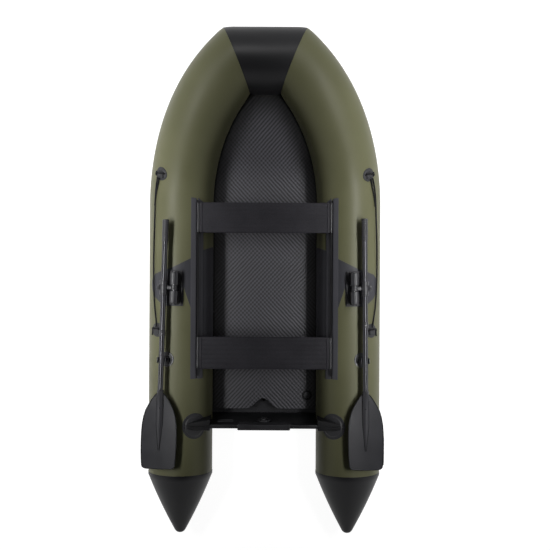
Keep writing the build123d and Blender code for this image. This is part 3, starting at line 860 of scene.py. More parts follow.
bottom = {
    "aft": -0.850, "front": 1.330, "chineDown": 0.157, "chineIn": 0.120, "keelZ": 0.010,
    "bendY": 0.200, "keelBowZ": 0.262, "hollow": 0.006,
}

# lean, width, thickness, and the ends of the tapes
tapes = [(-145, 0.045, 0.0012, -0.85, 1.25), (118, 0.030, 0.0009, hull["coneY"] + 0.02, 1.30)]
tapeGap = 0.0003


def keelAt(y):
    ahead = max(y - bottom["bendY"], 0) / (bottom["front"] - bottom["bendY"])
    return bottom["keelZ"] + (bottom["keelBowZ"] - bottom["keelZ"]) * ahead ** 2


# vee of cloth drawn over the air keel: nearly flat panels, a little hollow between keel and chine
def makeBottom():
    bm = bmesh.new()
    b = bottom
    half = drawnIn(0, b["chineIn"])
    count = 14
    section = [(half - 2 * half * i / count, 0) for i in range(count + 1)]
    section += [(-half, 0.03), (half, 0.03)]
    addSweep(bm, section, [facing((0, y, 0), "-y") for y in evenly(b["aft"], b["front"], 60)])
    for v in bm.verts:
        y = v.co.y
        chine = sheerAt(y) - b["chineDown"]
        across = abs(v.co.x) / half
        if v.co.z > 0.02:
            v.co.z = sheerAt(y) + airFloor["top"] - airFloor["thick"] - 0.0005
        else:
            hollow = b["hollow"] * sin(pi * across)
            v.co.z = keelAt(y) + (chine - keelAt(y)) * across + hollow
        v.co.x *= (drawnIn(y, b["chineIn"]) + 0.012) / half
    finishPiece(bm, "veeBottom", "bottom_fabric", standsFor=["vee_bottom"], sharp=50)


# tape that bonds the bottom to the tube, and the strip that hides the tube's own long seam
def makeChineTape(side):
    bm = bmesh.new()
    for lean, wide, thick, aft, front in tapes:
        before = set(bm.verts)
        addSlab(bm, [(-wide / 2, aft), (wide / 2, aft), (wide / 2, front), (-wide / 2, front)],
                thick, 0, shift(0, 0, tapeGap))
        layOnTube(bm, before, 0, lean, 0.012, 0.03)
    finishSide(bm, side, "chineTape", "dark_patch")


strake = {"wide": 0.058, "thick": 0.005, "ribs": 3, "aft": 0.004, "front": 1.229}


# ribbed rubbing strip bonded along the keel
def makeStrake():
    bm = bmesh.new()
    half, thick = strake["wide"] / 2, strake["thick"]
    section = [(half, 0.0), (half, -thick * 0.4)]
    for i in range(strake["ribs"] * 2 + 1):
        x = half * 0.8 - 1.6 * half * i / (strake["ribs"] * 2)
        section.append((x, -thick if i % 2 == 0 else -thick * 0.5))
    section += [(-half, -thick * 0.4), (-half, 0.0)]
    ends = bottom["aft"] + strake["aft"], strake["front"]
    addSweep(bm, section, [facing((0, y, 0), "-y") for y in evenly(*ends, 48)])
    for v in bm.verts:
        y = v.co.y
        slope = (sheerAt(y) - bottom["chineDown"] - keelAt(y)) / drawnIn(y, bottom["chineIn"])
        v.co.z += keelAt(y) + slope * abs(v.co.x)
    finishPiece(bm, "keelStrake", "black_rubber", standsFor=["keel_strake"])


chafePatch = {
    "thick": 0.0013, "proud": 0.0003,
    "outline": [
        (0.335, 0.246), (0.387, 0.224), (0.460, 0.172), (0.540, 0.131), (0.590, 0.107), (0.650, 0.088),
        (0.690, 0.072), (0.709, 0.045), (0.715, 0.005), (0.709, -0.038), (0.690, -0.076), (0.658, -0.106),
        (0.618, -0.128), (0.509, -0.128), (0.505, -0.012), (0.388, -0.362), (0.3351, -0.378),
    ],
}


# one piece of reinforced cloth saddled over the tube under the oarlock
def makeChafePatch(side):
    bm = bmesh.new()
    addSlab(bm, chafePatch["outline"], chafePatch["thick"], 0, shift(0, 0, chafePatch["proud"]),
            cuts=7)
    for v in bm.verts:
        v.co.x = hull["radius"] * asin(clamp((v.co.x - hull["axisX"]) / hull["radius"], -1))
    layOnTube(bm, set(), 0, 0)
    finishSide(bm, side, "chafePatch", "dark_patch", "side_patch")


seatRail = {
    "from": -0.587, "to": 0.555, "beadX": 0.418, "beadLift": 0.0125, "beadR": 0.0035,
    "outer": (-22.0, -32.2), "inner": (-35.2, -47.0), "lift": 0.0018, "thick": 0.0014,
    "corners": {"outer": 0.004, "inner": 0.030}, "beadShort": 0.02,
    "fin": [(-0.0008, -0.0095), (0.0008, -0.0095), (0.0008, -0.002), (-0.0008, -0.002)],
    "shadeSheetIn": 0.002, "shadeSheetThick": 0.0006,
}


# welted rail: an outer and an inner flap bonded to the tube, the round bead standing between them; the bead,
# its fin and a black sheet under the flaps are coloured near-black as painted shade for the slit between the
# flaps
def makeSeatRail(side):
    bm = bmesh.new()
    r = seatRail
    long, middle = r["to"] - r["from"], (r["to"] + r["from"]) / 2
    for flap, corner in r["corners"].items():
        a, b = r[flap]
        before = set(bm.verts)
        wide = radians(abs(a - b)) * hull["radius"]
        outline = [(-wide / 2, -long / 2), (wide / 2, -long / 2), (wide / 2, long / 2),
                   (-wide / 2, long / 2 - corner)]
        addSlab(bm, outline, r["thick"], 0.0008, shift(0, 0, r["lift"]))
        layOnTube(bm, before, middle, (a + b) / 2, 0.01)
        giveLook({f for v in newVerts(bm, before) for f in v.link_faces}, 1)
    lean = -asin((hull["axisX"] - r["beadX"]) / (hull["radius"] + r["beadLift"]))
    ends = []
    for y in (r["from"] + r["beadShort"], r["to"] - r["beadShort"]):
        spot = tubeSpot(y, degrees(lean), r["beadLift"])
        ends.append(axesMatrix(spot.translation, spot.col[0].xyz, spot.col[2].xyz, spot.col[1].xyz))
    addSweep(bm, circle(r["beadR"], 14), ends)
    addSweep(bm, r["fin"], ends)
    # painted shade: the bead and its fin wear near-black rubber for the dark slit beside them
    giveLook([f for f in bm.faces if f.material_index == 0], 2)
    finishSide(bm, side, "seatRail", "dark_patch", "seat_rail", looks=["pale_grey_cloth", "rim_rubber"])
    # black sheet under the flaps, painted shade showing in the gap between them
    bm = bmesh.new()
    base = radians(r["outer"][0] - r["inner"][1]) * hull["radius"] / 2 - r["shadeSheetIn"]
    addSlab(bm, [(-base, -long / 2 + 0.003), (base, -long / 2 + 0.003), (base, long / 2 - 0.003),
                 (-base, long / 2 - r["corners"]["inner"])], r["shadeSheetThick"], 0, shift(0, 0, 0.0017))
    layOnTube(bm, set(), middle, (r["outer"][0] + r["inner"][1]) / 2, 0.01)
    finishSide(bm, side, "railSlitShadeSheet", "black_fabric")


seats = {
    "ribs": 6, "groove": 0.0006, "grooveWide": 0.008, "capLong": 0.016, "half": 0.406, "edge": 0.005,
}


# extruded hollow plank with grip grooves along it and a moulded cap on each end
def makeSeat(name):
    low, high = boxOf(f"seat_{name}")
    wide = high.y - low.y
    section = [(-wide / 2 + seats["edge"], low.z), (-wide / 2, low.z + seats["edge"]),
               (-wide / 2, high.z - seats["edge"])]
    for i in range(4):
        a = pi / 2 * (i + 0.5) / 4
        x, z = polar(seats["edge"], a)
        section.append((-wide / 2 + seats["edge"] - x, high.z - seats["edge"] + z))
    half = []
    for i in range(seats["ribs"]):
        at = -wide / 2 + wide * (i + 1) / (seats["ribs"] + 1)
        g = seats["grooveWide"] / 2
        half += [(at - g, high.z), (at - g * 0.5, high.z - seats["groove"]),
                 (at + g * 0.5, high.z - seats["groove"]), (at + g, high.z)]
    section = section + half + [(-y, z) for y, z in reversed(section)]
    middle = (low.y + high.y) / 2
    bm = bmesh.new()
    inner = seats["half"] - seats["capLong"]
    addSweep(bm, section, [facing((x, middle, 0), "x") for x in (-inner, inner)])
    for sign in (1, -1):
        place = shift(sign * (seats["half"] - seats["capLong"] / 2), middle, (low.z + high.z) / 2)
        addBlock(bm, (seats["capLong"], wide, high.z - low.z), 0.0035, place)
    finishPiece(bm, f"seat.{name}", "seat_board", body=f"seat_{name}", standsFor=[f"seat_{name}"])


def boxOf(node):
    low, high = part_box(node)
    return Vector(low), Vector(high)


for side in sides:
    makeChineTape(side)
    makeChafePatch(side)
    makeSeatRail(side)
makeBottom()
makeStrake()
for name in seatNames:
    makeSeat(name)
print("bottom, patches, rails and seats made")


# lower face of a flat-bottomed moulding cut to sit on the straight part of the starboard tube
def seatOnTube(bm, before, below, lift=0.0004):
    low, high = (f(v.co.x for v in newVerts(bm, before)) for f in (min, max))
    cutEvery(bm, before, 0, low, high, 0.01)
    for v in newVerts(bm, before):
        if v.co.z < below:
            v.co.z = topAt(v.co.x, lift)


# outline of a flat-bottomed disc: radii of the rows under it, then its profile from the rim inward
def discOutline(flats, profile, low=0.0004):
    return [(r, low) for r in flats] + profile + [(0, low)]


# turned moulding, drawn about z, wrapped on the starboard tube
def addDisc(bm, outline, y, lean, steps=56):
    before = set(bm.verts)
    addTurned(bm, outline, steps=steps)
    layOnTube(bm, before, y, lean, 0.016)


# domed rivet or screw head
def addRivet(bm, place, radius, tall):
    outline = [(0, -0.001), (radius, -0.001), (radius, tall * 0.25)]
    outline += [(radius * cos(a), tall * (0.25 + 0.75 * sin(a))) for a in (0.4, 0.8, 1.2)]
    addTurned(bm, outline + [(0, tall), (0, -0.001)], place, 20)


oarlock = {
    "hinge": (0.560, -0.014, 0.462),
    "padWide": 0.092, "padLong": 0.216, "padTop": -0.037,
    "barrelR": 0.026, "barrelLong": 0.081, "barrelFrom": 0.0185,
    "axleR": 0.006, "hubR": 0.022, "hubLong": 0.034, "arm": 0.064, "pinR": 0.008,
    "sleeveR": 0.025, "sleeveLong": 0.088, "knobR": 0.017, "knobFlute": 0.0028,
}

oars = {
    "port": {"yaw": 1.5, "gripEnd": 0.408, "joint": -0.284},
    "starboard": {"yaw": 0.6, "gripEnd": 0.420, "joint": -0.227},
    "shaftR": 0.017, "flute": 0.0018, "gripR": 0.020, "gripLong": 0.136,
    "bladeLong": 0.490, "bladeHalf": 0.109, "bladeFoot": -1.141, "plate": 0.006,
    "socketR": 0.020, "socketLong": 0.210, "ribLong": 0.160, "ribEnd": 0.003, "flatten": 0.38,
    "spoon": 0.008, "spoonLong": 0.18, "screwDown": 0.109, "rimR": 0.0036, "lineR": 0.0016,
    # half width of the blade, by distance below its shoulder and then above its foot
    "flank": [(0.020, 0), (0.034, 0.012), (0.052, 0.038), (0.072, 0.073), (0.088, 0.105), (0.099, 0.145),
              (0.106, 0.190), (0.109, 0.240), (0.1095, 0.300), (0.1085, 0.360), (0.1062, 0.405)],
    "toe": [(0.103, 0.028), (0.1005, 0.017), (0.094, 0.009), (0.086, 0.005), (0.076, 0.003),
            (0.040, 0.0008), (0.0, 0)],
}


def atHinge(side):
    return shift(*oarlock["hinge"]) @ Matrix.Rotation(radians(oars[side]["yaw"]), 4, "Z")


def atShaft(side):
    return atHinge(side) @ shift(oarlock["arm"])


def makeOarlockBase(side):
    bm = bmesh.new()
    k = oarlock
    place = atHinge(side)
    addSlab(bm, roundedRect(k["padWide"], k["padLong"], 0.014), 0.026, 0.004,
            place @ shift(0, 0, k["padTop"] - 0.026), 3, rim=(0.006, -0.0012))
    seatOnTube(bm, set(), hull["axisZ"] + hull["radius"] - 0.004)
    arch = []
    for i in range(25):
        a = pi * i / 24
        square = (cos(a) ** 4 + sin(a) ** 4) ** -0.25 if 0 < i < 24 else 1.0
        x, z = polar(k["barrelR"], a)
        arch.append((x * square * 0.98, z * min(square, 1.04)))
    sunk = k["padTop"] - 0.003
    section = arch + [(-k["barrelR"] - 0.002, sunk), (k["barrelR"] + 0.002, sunk)]
    for way in (1, -1):
        start, end = way * k["barrelFrom"], way * (k["barrelFrom"] + k["barrelLong"])
        steps = [(start + way * off, share) for off, share in
                 ((0, 0.94), (0.0012, 0.985), (0.004, 1), (0.060, 1))]
        steps += [(end - way * off, share) for off, share in
                  ((0.010, 0.985), (0.005, 0.95), (0.0015, 0.89), (0, 0.84))]
        before = set(bm.verts)
        addSweep(bm, section, runAlong(Matrix(), "-y", steps))
        for v in newVerts(bm, before):
            if v.co.z < -0.02:
                v.co.z = sunk
        move(bm, before, place)
    finishSide(bm, side, "oarlockBase", "black_plastic", "oarlock_base")
    bm = bmesh.new()
    addSweep(bm, circle(k["axleR"], 24), [place @ facing((0, y, 0), "y")
                                          for y in (-k["hubLong"] / 2 - 0.01, k["hubLong"] / 2 + 0.01)])
    for way in (1, -1):
        end = shift(0, way * (k["barrelFrom"] + k["barrelLong"] - 0.001), 0)
        addRivet(bm, place @ end @ facing((0, 0, 0), "y" if way > 0 else "-y"), 0.0085, 0.004)
    finishSide(bm, side, "oarlockAxle", "steel")


def makeYoke(side):
    bm = bmesh.new()
    k = oarlock
    half = k["hubLong"] / 2
    place = atHinge(side)
    bore = k["axleR"] + 0.0001
    outline = [(bore, -half), (k["hubR"] - 0.002, -half), (k["hubR"], -half + 0.002), (k["hubR"], -0.004),
               (k["hubR"] - 0.0015, -0.003), (k["hubR"] - 0.0015, 0.003), (k["hubR"], 0.004),
               (k["hubR"], half - 0.002), (k["hubR"] - 0.002, half), (bore, half), (bore, -half)]
    addTurned(bm, outline, place @ facing((0, 0, 0), "y"))
    reach = k["arm"] - k["sleeveR"] - 0.001
    stations = [(k["hubR"] - 0.004, 1.0), (k["hubR"] + 0.002, 0.94)]
    stations += [(reach - off, share)
                 for off, share in ((0.006, 0.94), (0.005, 1.12), (0.001, 1.12), (0, 1.06))]
    addSweep(bm, roundedRect(0.026, 0.022, 0.005), runAlong(place, "x", stations))
    pin = [place @ facing((x, 0, 0), "x") for x in (reach - 0.004, k["arm"] + k["sleeveR"] + 0.016)]
    addSweep(bm, circle(k["pinR"] - 0.0005, 28), pin)
    finishSide(bm, side, "oarlockYoke", "black_plastic", "oarlock_yoke", moving=True)


# two-part sleeve clamped round the shaft, with a boss where the pin goes through
def makeSleeve(side):
    bm = bmesh.new()
    k = oarlock
    half, r = k["sleeveLong"] / 2, k["sleeveR"]
    bore = oars["shaftR"] + 0.0002
    outline = [(bore, -half), (r - 0.004, -half), (r - 0.0012, -half + 0.0015), (r, -half + 0.005)]
    for i in (-2, -1, 1, 2):
        y = i * 0.0145
        outline += [(r, y - 0.0032), (r - 0.0016, y - 0.0022), (r - 0.0016, y + 0.0022), (r, y + 0.0032)]
    outline += [(r, half - 0.005), (r - 0.0012, half - 0.0015), (r - 0.004, half), (bore, half),
                (bore, -half)]
    place = atShaft(side)
    addTurned(bm, outline, place @ facing((0, 0, 0), "y"))
    for way in (1, -1):
        foot = r - 0.004
        boss = [(0, foot), (0.0125, foot), (0.0125, r - 0.0006), (0.0115, r + 0.0004),
                (0, r + 0.0004), (0, foot)]
        turned = Matrix.Rotation(way * pi / 2, 4, "Y")
        addTurned(bm, boss, place @ turned, 32)
    addBlock(bm, (0.006, k["sleeveLong"] - 0.008, 0.010), 0.0015, place @ shift(0, 0, -r - 0.001))
    finishSide(bm, side, "oarSleeve", "black_plastic", "oar_sleeve", moving=True)


# hand nut with eight flutes
def makeKnob(side):
    bm = bmesh.new()
    k = oarlock
    at = k["arm"] + k["sleeveR"] + 0.001
    section = fluted(k["knobR"], k["knobFlute"], 96, 8, 1.5)
    stations = ((at, 0.9), (at + 0.0012, 1), (at + 0.0115, 1), (at + 0.0145, 0.93), (at + 0.016, 0.80))
    place = atHinge(side)
    addSweep(bm, section, runAlong(place, "x", stations))
    cap = [(0, 0), (0.0075, 0), (0.0075, 0.0012), (0.0062, 0.0022), (0, 0.0026), (0, 0)]
    addTurned(bm, cap, place @ facing((at + 0.0155, 0, 0), "x"), 32)
    finishSide(bm, side, "oarKnob", "black_plastic", "oar_knob", moving=True)


# two lengths of tube, joined under a ferrule with a spring button
def makeShaft(side):
    bm = bmesh.new()
    o, own = oars, oars[side]
    pivot = oarlock["hinge"][1]
    front = own["gripEnd"] - o["gripLong"] - pivot + 0.004
    aft = o["bladeFoot"] + o["bladeLong"] - pivot - 0.004
    joint = own["joint"] - pivot
    place = atShaft(side)
    r = o["shaftR"]
    section = fluted(r, o["flute"], 96, 8, 1.5, pi)
    for low, high in ((aft, joint - 0.0006), (joint, front)):
        addSweep(bm, section, [place @ facing((0, y, 0), "y") for y in (low, high)])
    # painted shade: the faces down in the flutes wear a near-black finish for the shade in them
    bm.faces.index_update()
    inverse = place.inverted()
    for face in bm.faces:
        spot = inverse @ face.calc_center_median()
        if cos(8 * atan2(spot.z, spot.x)) < -0.25:
            face.material_index = 1
    finishSide(bm, side, "oarShaft", "black_aluminium", "oar_shaft", moving=True, looks=["black_lacquer"])
    bm = bmesh.new()
    ferrule = [(r + 0.0002, joint - 0.030), (r + 0.0022, joint - 0.029), (r + 0.0028, joint - 0.026),
               (r + 0.0028, joint - 0.006), (r + 0.0020, joint - 0.0045), (r + 0.0034, joint - 0.003),
               (r + 0.0034, joint + 0.003), (r + 0.0002, joint + 0.005), (r + 0.0002, joint - 0.030)]
    addTurned(bm, ferrule, place @ facing((0, 0, 0), "y"))
    finishSide(bm, side, "oarFerrule", "black_plastic", moving=True)
    bm = bmesh.new()
    addRivet(bm, place @ shift(0, joint - 0.016, r + 0.0024), 0.0042, 0.0042)
    finishSide(bm, side, "oarButton", "steel", moving=True)


def makeGrip(side):
    bm = bmesh.new()
    o = oars
    end = o[side]["gripEnd"] - oarlock["hinge"][1]
    start = end - o["gripLong"]
    r = o["gripR"]
    outline = [(0, start), (r - 0.0025, start), (r, start + 0.0025), (r, start + 0.011)]
    for i in range(9):
        y = start + 0.014 + i * 0.0115
        outline += [(r - 0.0014, y), (r - 0.0014, y + 0.003), (r, y + 0.0048), (r, y + 0.0095)]
    outline += [(r - 0.0012, end - 0.016), (r + 0.0006, end - 0.012), (r + 0.0006, end - 0.006),
                (r - 0.0012, end - 0.002), (r - 0.005, end), (0, end), (0, start)]
    addTurned(bm, outline, atShaft(side) @ facing((0, 0, 0), "y"))
    finishSide(bm, side, "oarGrip", "grip_rubber", "oar_grip", moving=True)


# how far the blade's face is dished, x from its middle and down from its shoulder
def spoonAt(x, down):
    return oars["spoon"] * clamp(down / oars["spoonLong"]) * (x / oars["bladeHalf"]) ** 2


# shield-shaped plate with a rolled rim, a little spooned, and a socket that tapers into its rib
def makeBlade(side):
    bm = bmesh.new()
    o = oars
    pivot = oarlock["hinge"][1]
    top = o["bladeFoot"] + o["bladeLong"] - pivot
    foot = o["bladeFoot"] - pivot
    shoulder = top - o["socketR"]
    flank = [(x, shoulder - down) for x, down in o["flank"]] + [(x, foot + up) for x, up in o["toe"]]
    outline = flank + [(-x, y) for x, y in reversed(flank[:-1])]
    rimLine = [(x - copysign(0.002, x) if abs(x) > 0.001 else x, y + (0.002 if y < foot + 0.01 else 0))
               for x, y in outline]
    half = o["plate"] / 2
    addBoard(bm, outline, half, 0.0012, rim=(0.006, -0.0014))
    cutEvery(bm, set(), 0, -0.11, 0.11, 0.011)
    cutEvery(bm, set(), 1, foot, shoulder, 0.02)
    for v in bm.verts:
        v.co.z += spoonAt(v.co.x, shoulder - v.co.y)
    r, long = o["socketR"], o["socketLong"]
    before = set(bm.verts)
    outline = [(0, top), (r - 0.002, top), (r + 0.0012, top - 0.0015), (r + 0.0012, top - 0.009),
               (r, top - 0.0105), (r, top - long * 0.55), (r * 0.93, top - long)]
    thin = r * 0.93
    outline += [(thin - (thin - o["ribEnd"]) * i / 8, top - long - o["ribLong"] * i / 8) for i in range(1, 9)]
    addTurned(bm, outline + [(0, top - long - o["ribLong"] - 0.002), (0, top)], facing((0, 0, 0), "y"))
    for v in newVerts(bm, before):
        flat = clamp((shoulder - v.co.y) / long)
        v.co.z *= 1 - o["flatten"] * flat
        v.co.x *= 1 + 0.12 * flat
    place = atShaft(side)
    move(bm, set(), place)
    finishSide(bm, side, "oarBlade", "blade_plastic", "oar_blade", moving=True, sharp=40)
    bm = bmesh.new()
    tall = r * (1 - o["flatten"] * (o["screwDown"] - r) / long)
    addRivet(bm, place @ shift(0, top - o["screwDown"], tall - 0.0006), 0.0045, 0.0022)
    # bead round the blade's edge
    line = [Vector((x, y, spoonAt(x, shoulder - y))) for x, y in rimLine]
    addSweep(bm, circle(o["rimR"], 12), [place @ p for p in placesAlong(line)])
    # and a near-black line each side of the rib, painted shade along its edges
    for way in (1, -1):
        run = [(r * 1.03, top - 0.060), (r * 1.02, top - long * 0.55), (r * 0.98, top - long),
               (0.0035, foot + 0.118)]
        line = [Vector((way * x, y, half + 0.0004)) for x, y in run]
        addSweep(bm, circle(o["lineR"], 8), [place @ p for p in placesAlong(line)])
    giveLook(bm.faces, 1)
    finishSide(bm, side, "bladeRim", "black_rubber", moving=True, looks=["rim_rubber"])


clip = {"y": -0.463, "x": 0.610, "radius": 0.047, "half": 0.0265, "bore": 0.020, "long": 0.034}


# sprung fork on a round patch: the stowed shaft lies in it
def makeClip(side):
    bm = bmesh.new()
    c = clip
    lean = degrees(asin((c["x"] - hull["axisX"]) / hull["radius"]))
    r = c["radius"]
    outline = discOutline((0, 0.015, 0.030, r), [
        (r, 0.0028), (r - 0.002, 0.0048), (r - 0.006, 0.0050), (r - 0.009, 0.0040), (r - 0.011, 0.0040),
        (r - 0.013, 0.0052), (0.018, 0.0056), (0, 0.0056)])
    addDisc(bm, outline, c["y"], lean)
    hinge = Vector(oarlock["hinge"])
    yaw = radians(oars[side]["yaw"])
    x = hinge.x + oarlock["arm"] + (hinge.y - c["y"]) * tan(yaw)
    place = shift(x, c["y"], hinge.z) @ Matrix.Rotation(yaw, 4, "Z")
    lip = 0.0255
    inner = [(c["bore"] + 0.0035, 0.008), (c["bore"] + 0.0008, 0.0045), (c["bore"], 0)]
    inner += [polar(c["bore"], -pi * i / 16) for i in range(1, 16)]
    inner += [(-px, py) for px, py in reversed(inner[:3])]
    outer = [(-lip - 0.002, 0.0078), (-c["half"], 0.003), (-c["half"] + 0.0008, -0.010), (-0.0215, -0.022),
             (-0.015, -0.033), (-0.0125, -0.040), (0.0125, -0.040), (0.015, -0.033), (0.0215, -0.022),
             (c["half"] - 0.0008, -0.010), (c["half"], 0.003), (lip + 0.002, 0.0078)]
    half = c["long"] / 2
    before = set(bm.verts)
    addSweep(bm, inner + outer, [facing((0, y, 0), "-y") for y in (-half, half)])
    rimEdges = [e for e in bm.edges if e.verts[0] not in before and e.verts[1] not in before
                and abs(e.verts[0].co.y - e.verts[1].co.y) < 1e-6]
    easeEdges(bm, rimEdges, 0.0012, 2)
    move(bm, before, place)
    before = set(bm.verts)
    addBlock(bm, (x + 0.014 - c["x"] + 0.014, c["long"] - 0.004, 0.052), 0.003,
             shift((x + c["x"]) / 2, c["y"], hinge.z - 0.062))
    seatOnTube(bm, before, hinge.z - 0.070, 0.004)
    for way in (1, -1):
        before = set(bm.verts)
        addSlab(bm, [(-0.030, -0.034), (0.012, -0.034), (0.012, 0.004), (0.002, 0.004)], 0.003, 0.0008,
                facing((c["x"], c["y"] + way * 0.006 - 0.0015, 0.415), "-y"))
    finishSide(bm, side, "oarClip", "black_plastic", "oar_clip")


# round patches with the folded tab that the grab line is made fast to
def makeRopeHolders(side):
    bm = bmesh.new()
    r = knots["holderR"]
    for y, lean in knots["holders"]:
        outline = discOutline((0, 0.016, 0.031, r), [
            (r, 0.0022), (r - 0.0015, 0.0036), (r - 0.005, 0.0040), (r - 0.0075, 0.0032), (r - 0.010, 0.0032),
            (r - 0.012, 0.0042), (0.020, 0.0048), (0, 0.0048)])
        addDisc(bm, outline, y, lean)
        before = set(bm.verts)
        addSlab(bm, roundedRect(0.044, 0.046, 0.006), 0.0105, 0.003, shift(0, -0.004, 0.0035), 3,
                rim=(0.005, -0.0012))
        addSlab(bm, roundedRect(0.052, 0.030, 0.005), 0.0035, 0.0012, shift(0, -0.004, 0.0035))
        layOnTube(bm, before, y, lean, 0.012)
    finishSide(bm, side, "ropeHolders", "black_rubber", "rope_holders")


for side in sides:
    for make in (makeOarlockBase, makeYoke, makeSleeve, makeKnob, makeShaft, makeGrip, makeBlade, makeClip,
                 makeRopeHolders):
        make(side)
print("oars, oarlocks and holders made")


transom = {
    "y": -0.884, "top": 0.400, "shoulder": 0.380, "foot": 0.062, "thick": 0.024, "rake": 5,
    "half": 0.440, "clear": 0.001,
    "padWide": 0.330, "padTall": 0.190, "padThick": 0.010, "lipTall": 0.062, "lipThick": 0.005, "cap": 0.003,
    "lipHollow": 0.0035, "ribs": 15, "ribStep": 0.0195,
}


# the board's own frame: x to port, y up the board, z forward, from the middle of its top edge
def onBoard(x=0.0, up=0.0, off=0.0):
    rake = radians(transom["rake"])
    z = Vector((0, cos(rake), sin(rake)))
    place = axesMatrix(Vector((0, transom["y"], transom["top"])), Vector((-1, 0, 0)),
                       Vector((0, -sin(rake), cos(rake))), z)
    return place @ shift(x, up, off)


# plywood board whose ends follow the tubes, its edges eased
def makeTransom():
    bm = bmesh.new()
    t = transom
    cosRake = cos(radians(t["rake"]))
    half = [(0.410, 0), (0.425, -0.002), (0.4355, -0.009), (t["half"], -0.020)]
    for z in evenly(t["shoulder"], t["foot"], 22):
        reach = hull["radius"] + t["clear"]
        x = hull["axisX"] - sqrt(max(reach ** 2 - (z - hull["axisZ"]) ** 2, 0))
        half.append((min(x, t["half"]), (z - t["top"]) / cosRake))
    outline = half + [(-x, y) for x, y in reversed(half)]
    addBoard(bm, outline, t["thick"] / 2, 0.003, segments=3)
    move(bm, set(), onBoard())
    finishPiece(bm, "transomBoard", "transom_wood", standsFor=["transom"])


# clamping plates with a hooked inner lip that is hollowed towards its middle
def makeMotorPlate():
    bm = bmesh.new()
    t = transom
    face = t["thick"] / 2 + 0.0002
    half = t["padWide"] / 2
    # seen along the board's face: cap with its hollow front edge
    outline = []
    for i in range(25):
        hollowed = 0.68 * cos(pi * (0.5 - i / 24)) ** 0.7
        outline.append((half * (1 - 2 * i / 24), face + t["lipThick"] * (1 - hollowed)))
    back = -face - t["padThick"]
    outline += [(-half, back + 0.004), (-half + 0.004, back), (half - 0.004, back), (half, back + 0.004)]
    cap = axesMatrix(Vector((0, 0.0002, 0)), Vector((1, 0, 0)), Vector((0, 0, 1)), Vector((0, 1, 0)))
    addSlab(bm, outline, t["cap"], 0.0015, onBoard() @ cap)
    # outer pad with upright ribs inside a raised border
    pad = facing((0, t["cap"] - t["padTall"] / 2, -face), "-z")
    addSlab(bm, roundedRect(t["padWide"], t["padTall"] - 0.002, 0.008), t["padThick"] - 0.0025, 0.002,
            onBoard() @ pad, rim=(0.010, -0.003))
    for i in range(t["ribs"]):
        x = (i - t["ribs"] // 2) * t["ribStep"]
        rib = shift(x, -0.001, t["padThick"] - 0.0045)
        addBlock(bm, (0.009, t["padTall"] - 0.030, 0.005), 0.0015, onBoard() @ pad @ rib, 2)
    # inner lip, thinner towards the middle
    lip = shift(0, t["cap"] - t["lipTall"] / 2, face)
    before = set(bm.verts)
    addSlab(bm, roundedRect(t["padWide"], t["lipTall"] - 0.002, 0.008), t["lipThick"], 0.0015,
            rim=(0.006, -0.001))
    cutEvery(bm, before, 0, -half, half, 0.014)
    for v in newVerts(bm, before):
        if v.co.z > t["lipThick"] * 0.3:
            v.co.z -= t["lipHollow"] * (1 - (v.co.x / half) ** 2)
    move(bm, before, onBoard() @ lip)
    finishPiece(bm, "motorPlate", "black_plastic", standsFor=["motor_plate"])


drain = {"z": 0.280, "ring": 0.046, "tall": 0.008, "screwsAt": 0.0395}


# bailer flange with a hinged flap and its screws
def makeDrain():
    bm = bmesh.new()
    d = drain
    place = onBoard(0, (d["z"] - transom["top"]), transom["thick"] / 2 + 0.0002)
    r = d["ring"]
    outline = [(0, 0), (r, 0), (r, 0.0035), (r - 0.0015, 0.0052), (0.034, 0.0062), (0.0325, d["tall"]),
               (0.0295, d["tall"]), (0.0285, 0.0030), (0.0150, 0.0030), (0.0145, 0.0070), (0.0120, 0.0105),
               (0.0050, 0.0115), (0, 0.0115), (0, 0)]
    addTurned(bm, outline, place, 56)
    for i in range(3):
        turn = Matrix.Rotation(2 * pi * i / 3, 4, "Z")
        addBlock(bm, (0.016, 0.004, 0.003), 0.0008, place @ turn @ shift(0.0215, 0, 0.0042), 2)
    addBlock(bm, (0.022, 0.009, 0.006), 0.002, place @ shift(0, 0.038, 0.0075))
    finishPiece(bm, "drainValve", "black_plastic", standsFor=["drain_valve"])
    bm = bmesh.new()
    for i in range(6):
        a = pi / 6 + pi / 3 * i
        spot = shift(*polar(d["screwsAt"], a), 0.0050)
        addRivet(bm, place @ spot, 0.0028, 0.0014)
    finishPiece(bm, "drainScrews", "steel")


plate = {"x": 0.245, "up": 0.015, "wide": 0.100, "tall": 0.050}


def makePlate():
    bm = bmesh.new()
    place = onBoard(plate["x"], drain["z"] - transom["top"] + plate["up"], transom["thick"] / 2 + 0.0002)
    addSlab(bm, roundedRect(plate["wide"], plate["tall"], 0.004), 0.0018, 0.0005, place,
            rim=(0.0025, -0.0007))
    for sx in (1, -1):
        for sy in (1, -1):
            addRivet(bm, place @ shift(sx * 0.0455, sy * 0.0205, 0.0011), 0.0017, 0.001)
    finishPiece(bm, "blankPlate", "name_plate", standsFor=["name_plate"])


holder = {
    "lean": -31, "radius": 0.081, "footR": 0.060,
    # x, and the web's aft and forward edges and top there, the edges from the board's middle
    "stations": [
        (0.3375, -0.026, 0.044, 0.405), (0.352, -0.026, 0.042, 0.4065), (0.372, -0.025, 0.039, 0.4075),
        (0.395, -0.024, 0.036, 0.4080), (0.418, -0.022, 0.032, 0.4080), (0.440, -0.021, 0.028, 0.4085),
        (0.458, -0.020, 0.024, 0.4090), (0.474, -0.018, 0.020, 0.4095), (0.488, -0.014, 0.015, 0.4100),
        (0.499, -0.008, 0.008, 0.4100),
    ],
}


